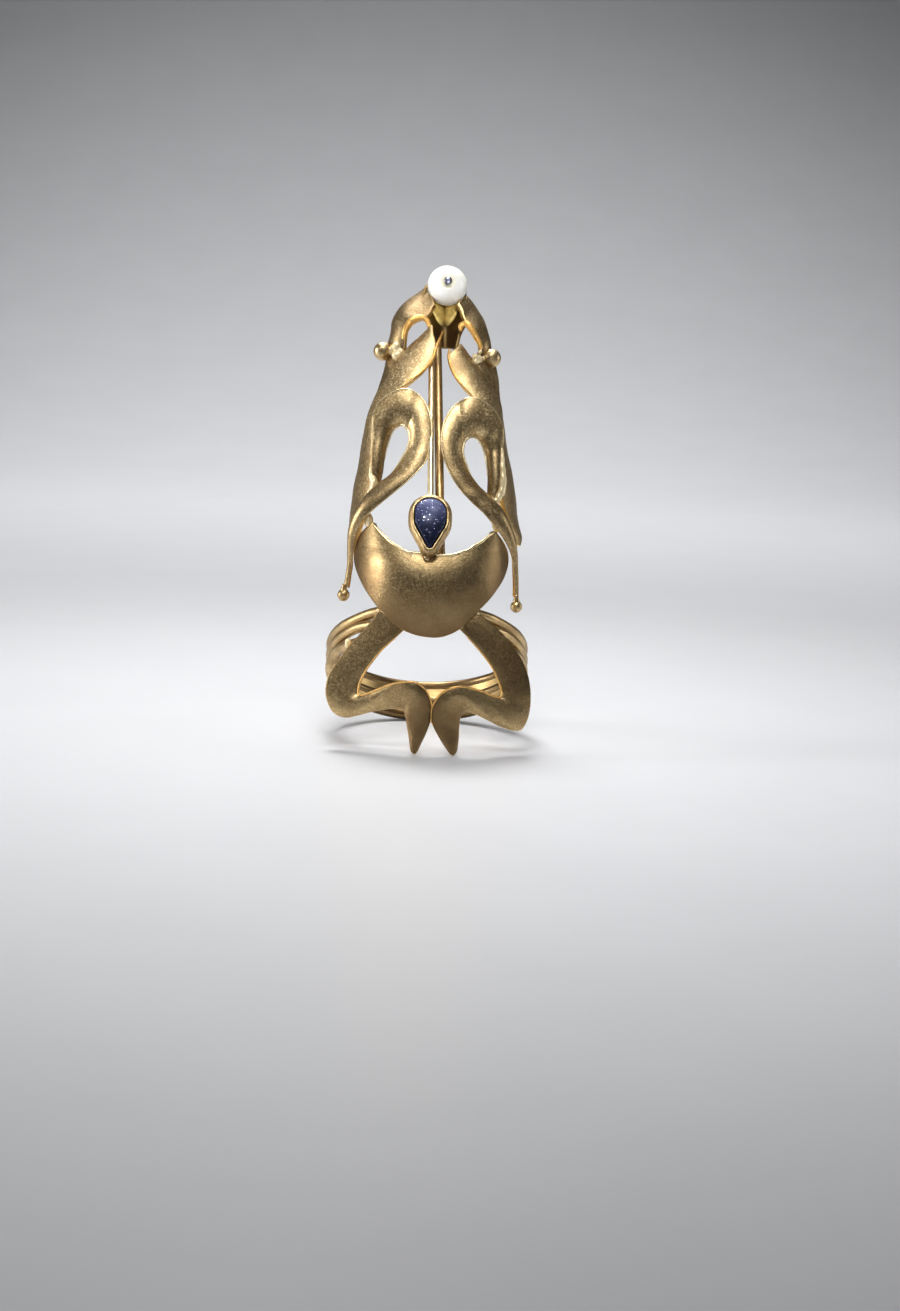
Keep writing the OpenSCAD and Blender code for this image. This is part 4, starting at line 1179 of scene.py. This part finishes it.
def strap_grid(reach=62, push=0.33, around=60, levels=16):
    """Strap that joins the wires at the back, reach degrees to each side and push millimetres out."""
    angle = np.radians(180 - reach + 2 * reach * np.linspace(0, 1, around + 1))[None]
    k = (2 * (1 - np.linspace(0, 1, levels + 1)))[:, None]
    p = wire_point(k, angle * np.ones_like(k))
    out = np.stack([np.sin(angle), -np.cos(angle) * np.cos(BAND_TILT), np.cos(angle) * np.sin(BAND_TILT)], -1)
    return p + push * out


# The strap is darkened all over with painted shade
sheet("band_strap", strap_grid(), STRAP_SHEET, PLATE, STRAP_SHADE, rim=0.1)

# Solder where the pieces meet
for name, rows in (("crescent_solder_left", LEFT_ARM_SEAM), ("crescent_solder_right", RIGHT_ARM_SEAM)):
    build(name, *melt(bead_row(rows, gap=0.08), voxel=0.05, rounds=3, rough=0.05), SOLDER)
lumps = [ball_mesh(row[:3], row[3:6], rough=row[6], fine=2) for row in LUMPS]
build("solder", *melt(lumps), SOLDER)


# Floor that bends up into a backdrop, light and camera, all in metres
FLOOR_HALF = 1.6
FLOOR_BACK = 0.7
FLOOR_BEND = 0.35
BACKDROP_TOP = 1.2
# columns: name, place, point aimed at, width and height, watts, spread in degrees
LAMPS = [
    ["key", (-0.27, -0.025, 0.075), (0, 0, 0.025), (0.035, 0.14), 0.5, 180],
    ["edge", (0.27, 0.03, 0.07), (0, 0, 0.02), (0.03, 0.13), 0.1, 180],
    ["top", (0.03, -0.06, 0.30), (0, 0, 0.03), (0.06, 0.06), 0.02, 50],
    ["over", (-0.03, 0.12, 0.28), (0, 0, 0.03), (0.08, 0.06), 0.05, 50],
    ["front", (-0.03, -0.20, 0.30), (0, 0, 0.02), (0.12, 0.08), 0.045, 50],
    ["pearl", (0.02, -0.30, 0.075), (0.0006, 0.007, 0.0445), (0.006, 0.006), 0.00011, 2.6],
    ["behind", (0.0, 0.25, 0.45), (0, 0.32, 0.0), (0.3, 0.2), 1.3, 110]]


def stage():
    """Pale floor with its backdrop."""
    made, tree, shader, at = material("pale_floor")
    colour = mixed(tree, noise(tree, at, 60, 4), FLOOR_DARK, FLOOR_LIGHT)
    feed(tree, shader, {"Base Color": colour, "Roughness": 0.4})
    foot = FLOOR_BACK - FLOOR_BEND
    profile = [(-FLOOR_HALF, 0), (foot, 0)]
    profile += [(foot + FLOOR_BEND * np.sin(a), FLOOR_BEND - FLOOR_BEND * np.cos(a))
                for a in np.linspace(0.1, np.pi / 2, 14)]
    profile.append((FLOOR_BACK, BACKDROP_TOP))
    points = [(x, y, z) for y, z in profile for x in (-FLOOR_HALF, FLOOR_HALF)]
    faces = [(2 * i, 2 * i + 1, 2 * i + 3, 2 * i + 2) for i in range(len(profile) - 1)]
    mesh = smooth_mesh("floor", points, faces)
    mesh.materials.append(made)
    put("floor", mesh)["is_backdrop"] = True


stage()
for name, at, aim, size, watts, spread in LAMPS:
    data = bpy.data.lights.new(name, "AREA")
    data.shape, data.size, data.size_y = "RECTANGLE", size[0], size[1]
    data.energy, data.spread = watts, np.radians(spread)
    lamp = put(name, data)
    lamp.location = at
    lamp.rotation_euler = (Vector(aim) - Vector(at)).to_track_quat("-Z", "Y").to_euler()

world = bpy.data.worlds.new("room")
world.use_nodes = True
feed(world.node_tree, world.node_tree.nodes["Background"], {"Color": ROOM, "Strength": 1})
bpy.context.scene.world = world
bpy.context.scene.view_settings.view_transform = "Standard"

# Camera: pitch down, yaw to the right and roll, in radians, its place in millimetres, and its focal length
# and the picture's height in pixels
PITCH, YAW, ROLL = 0.1524, 0.0367, 0.0416
EYE = (-5.17, -195.31, 40.03)
FOCAL, PICTURE_H = 2000, 1311
SENSOR = 36
forward = Vector((np.sin(YAW) * np.cos(PITCH), np.cos(YAW) * np.cos(PITCH), -np.sin(PITCH)))
right = Vector((np.cos(YAW), -np.sin(YAW), 0))
above = right.cross(forward)
right_rolled = right * np.cos(ROLL) + above * np.sin(ROLL)
above_rolled = above * np.cos(ROLL) - right * np.sin(ROLL)
lens = bpy.data.cameras.new("camera")
lens.sensor_fit = "VERTICAL"
lens.sensor_height = SENSOR
lens.lens = SENSOR * FOCAL / PICTURE_H
lens.clip_start = 0.01
camera = put("camera", lens)
turned = Matrix((right_rolled, above_rolled, -forward)).transposed().to_4x4()
eye = Vector((EYE[0], EYE[1] - MIDDLE_Y, EYE[2])) * MM
camera.matrix_world = Matrix.Translation(eye) @ turned
bpy.context.scene.camera = camera

low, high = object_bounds()
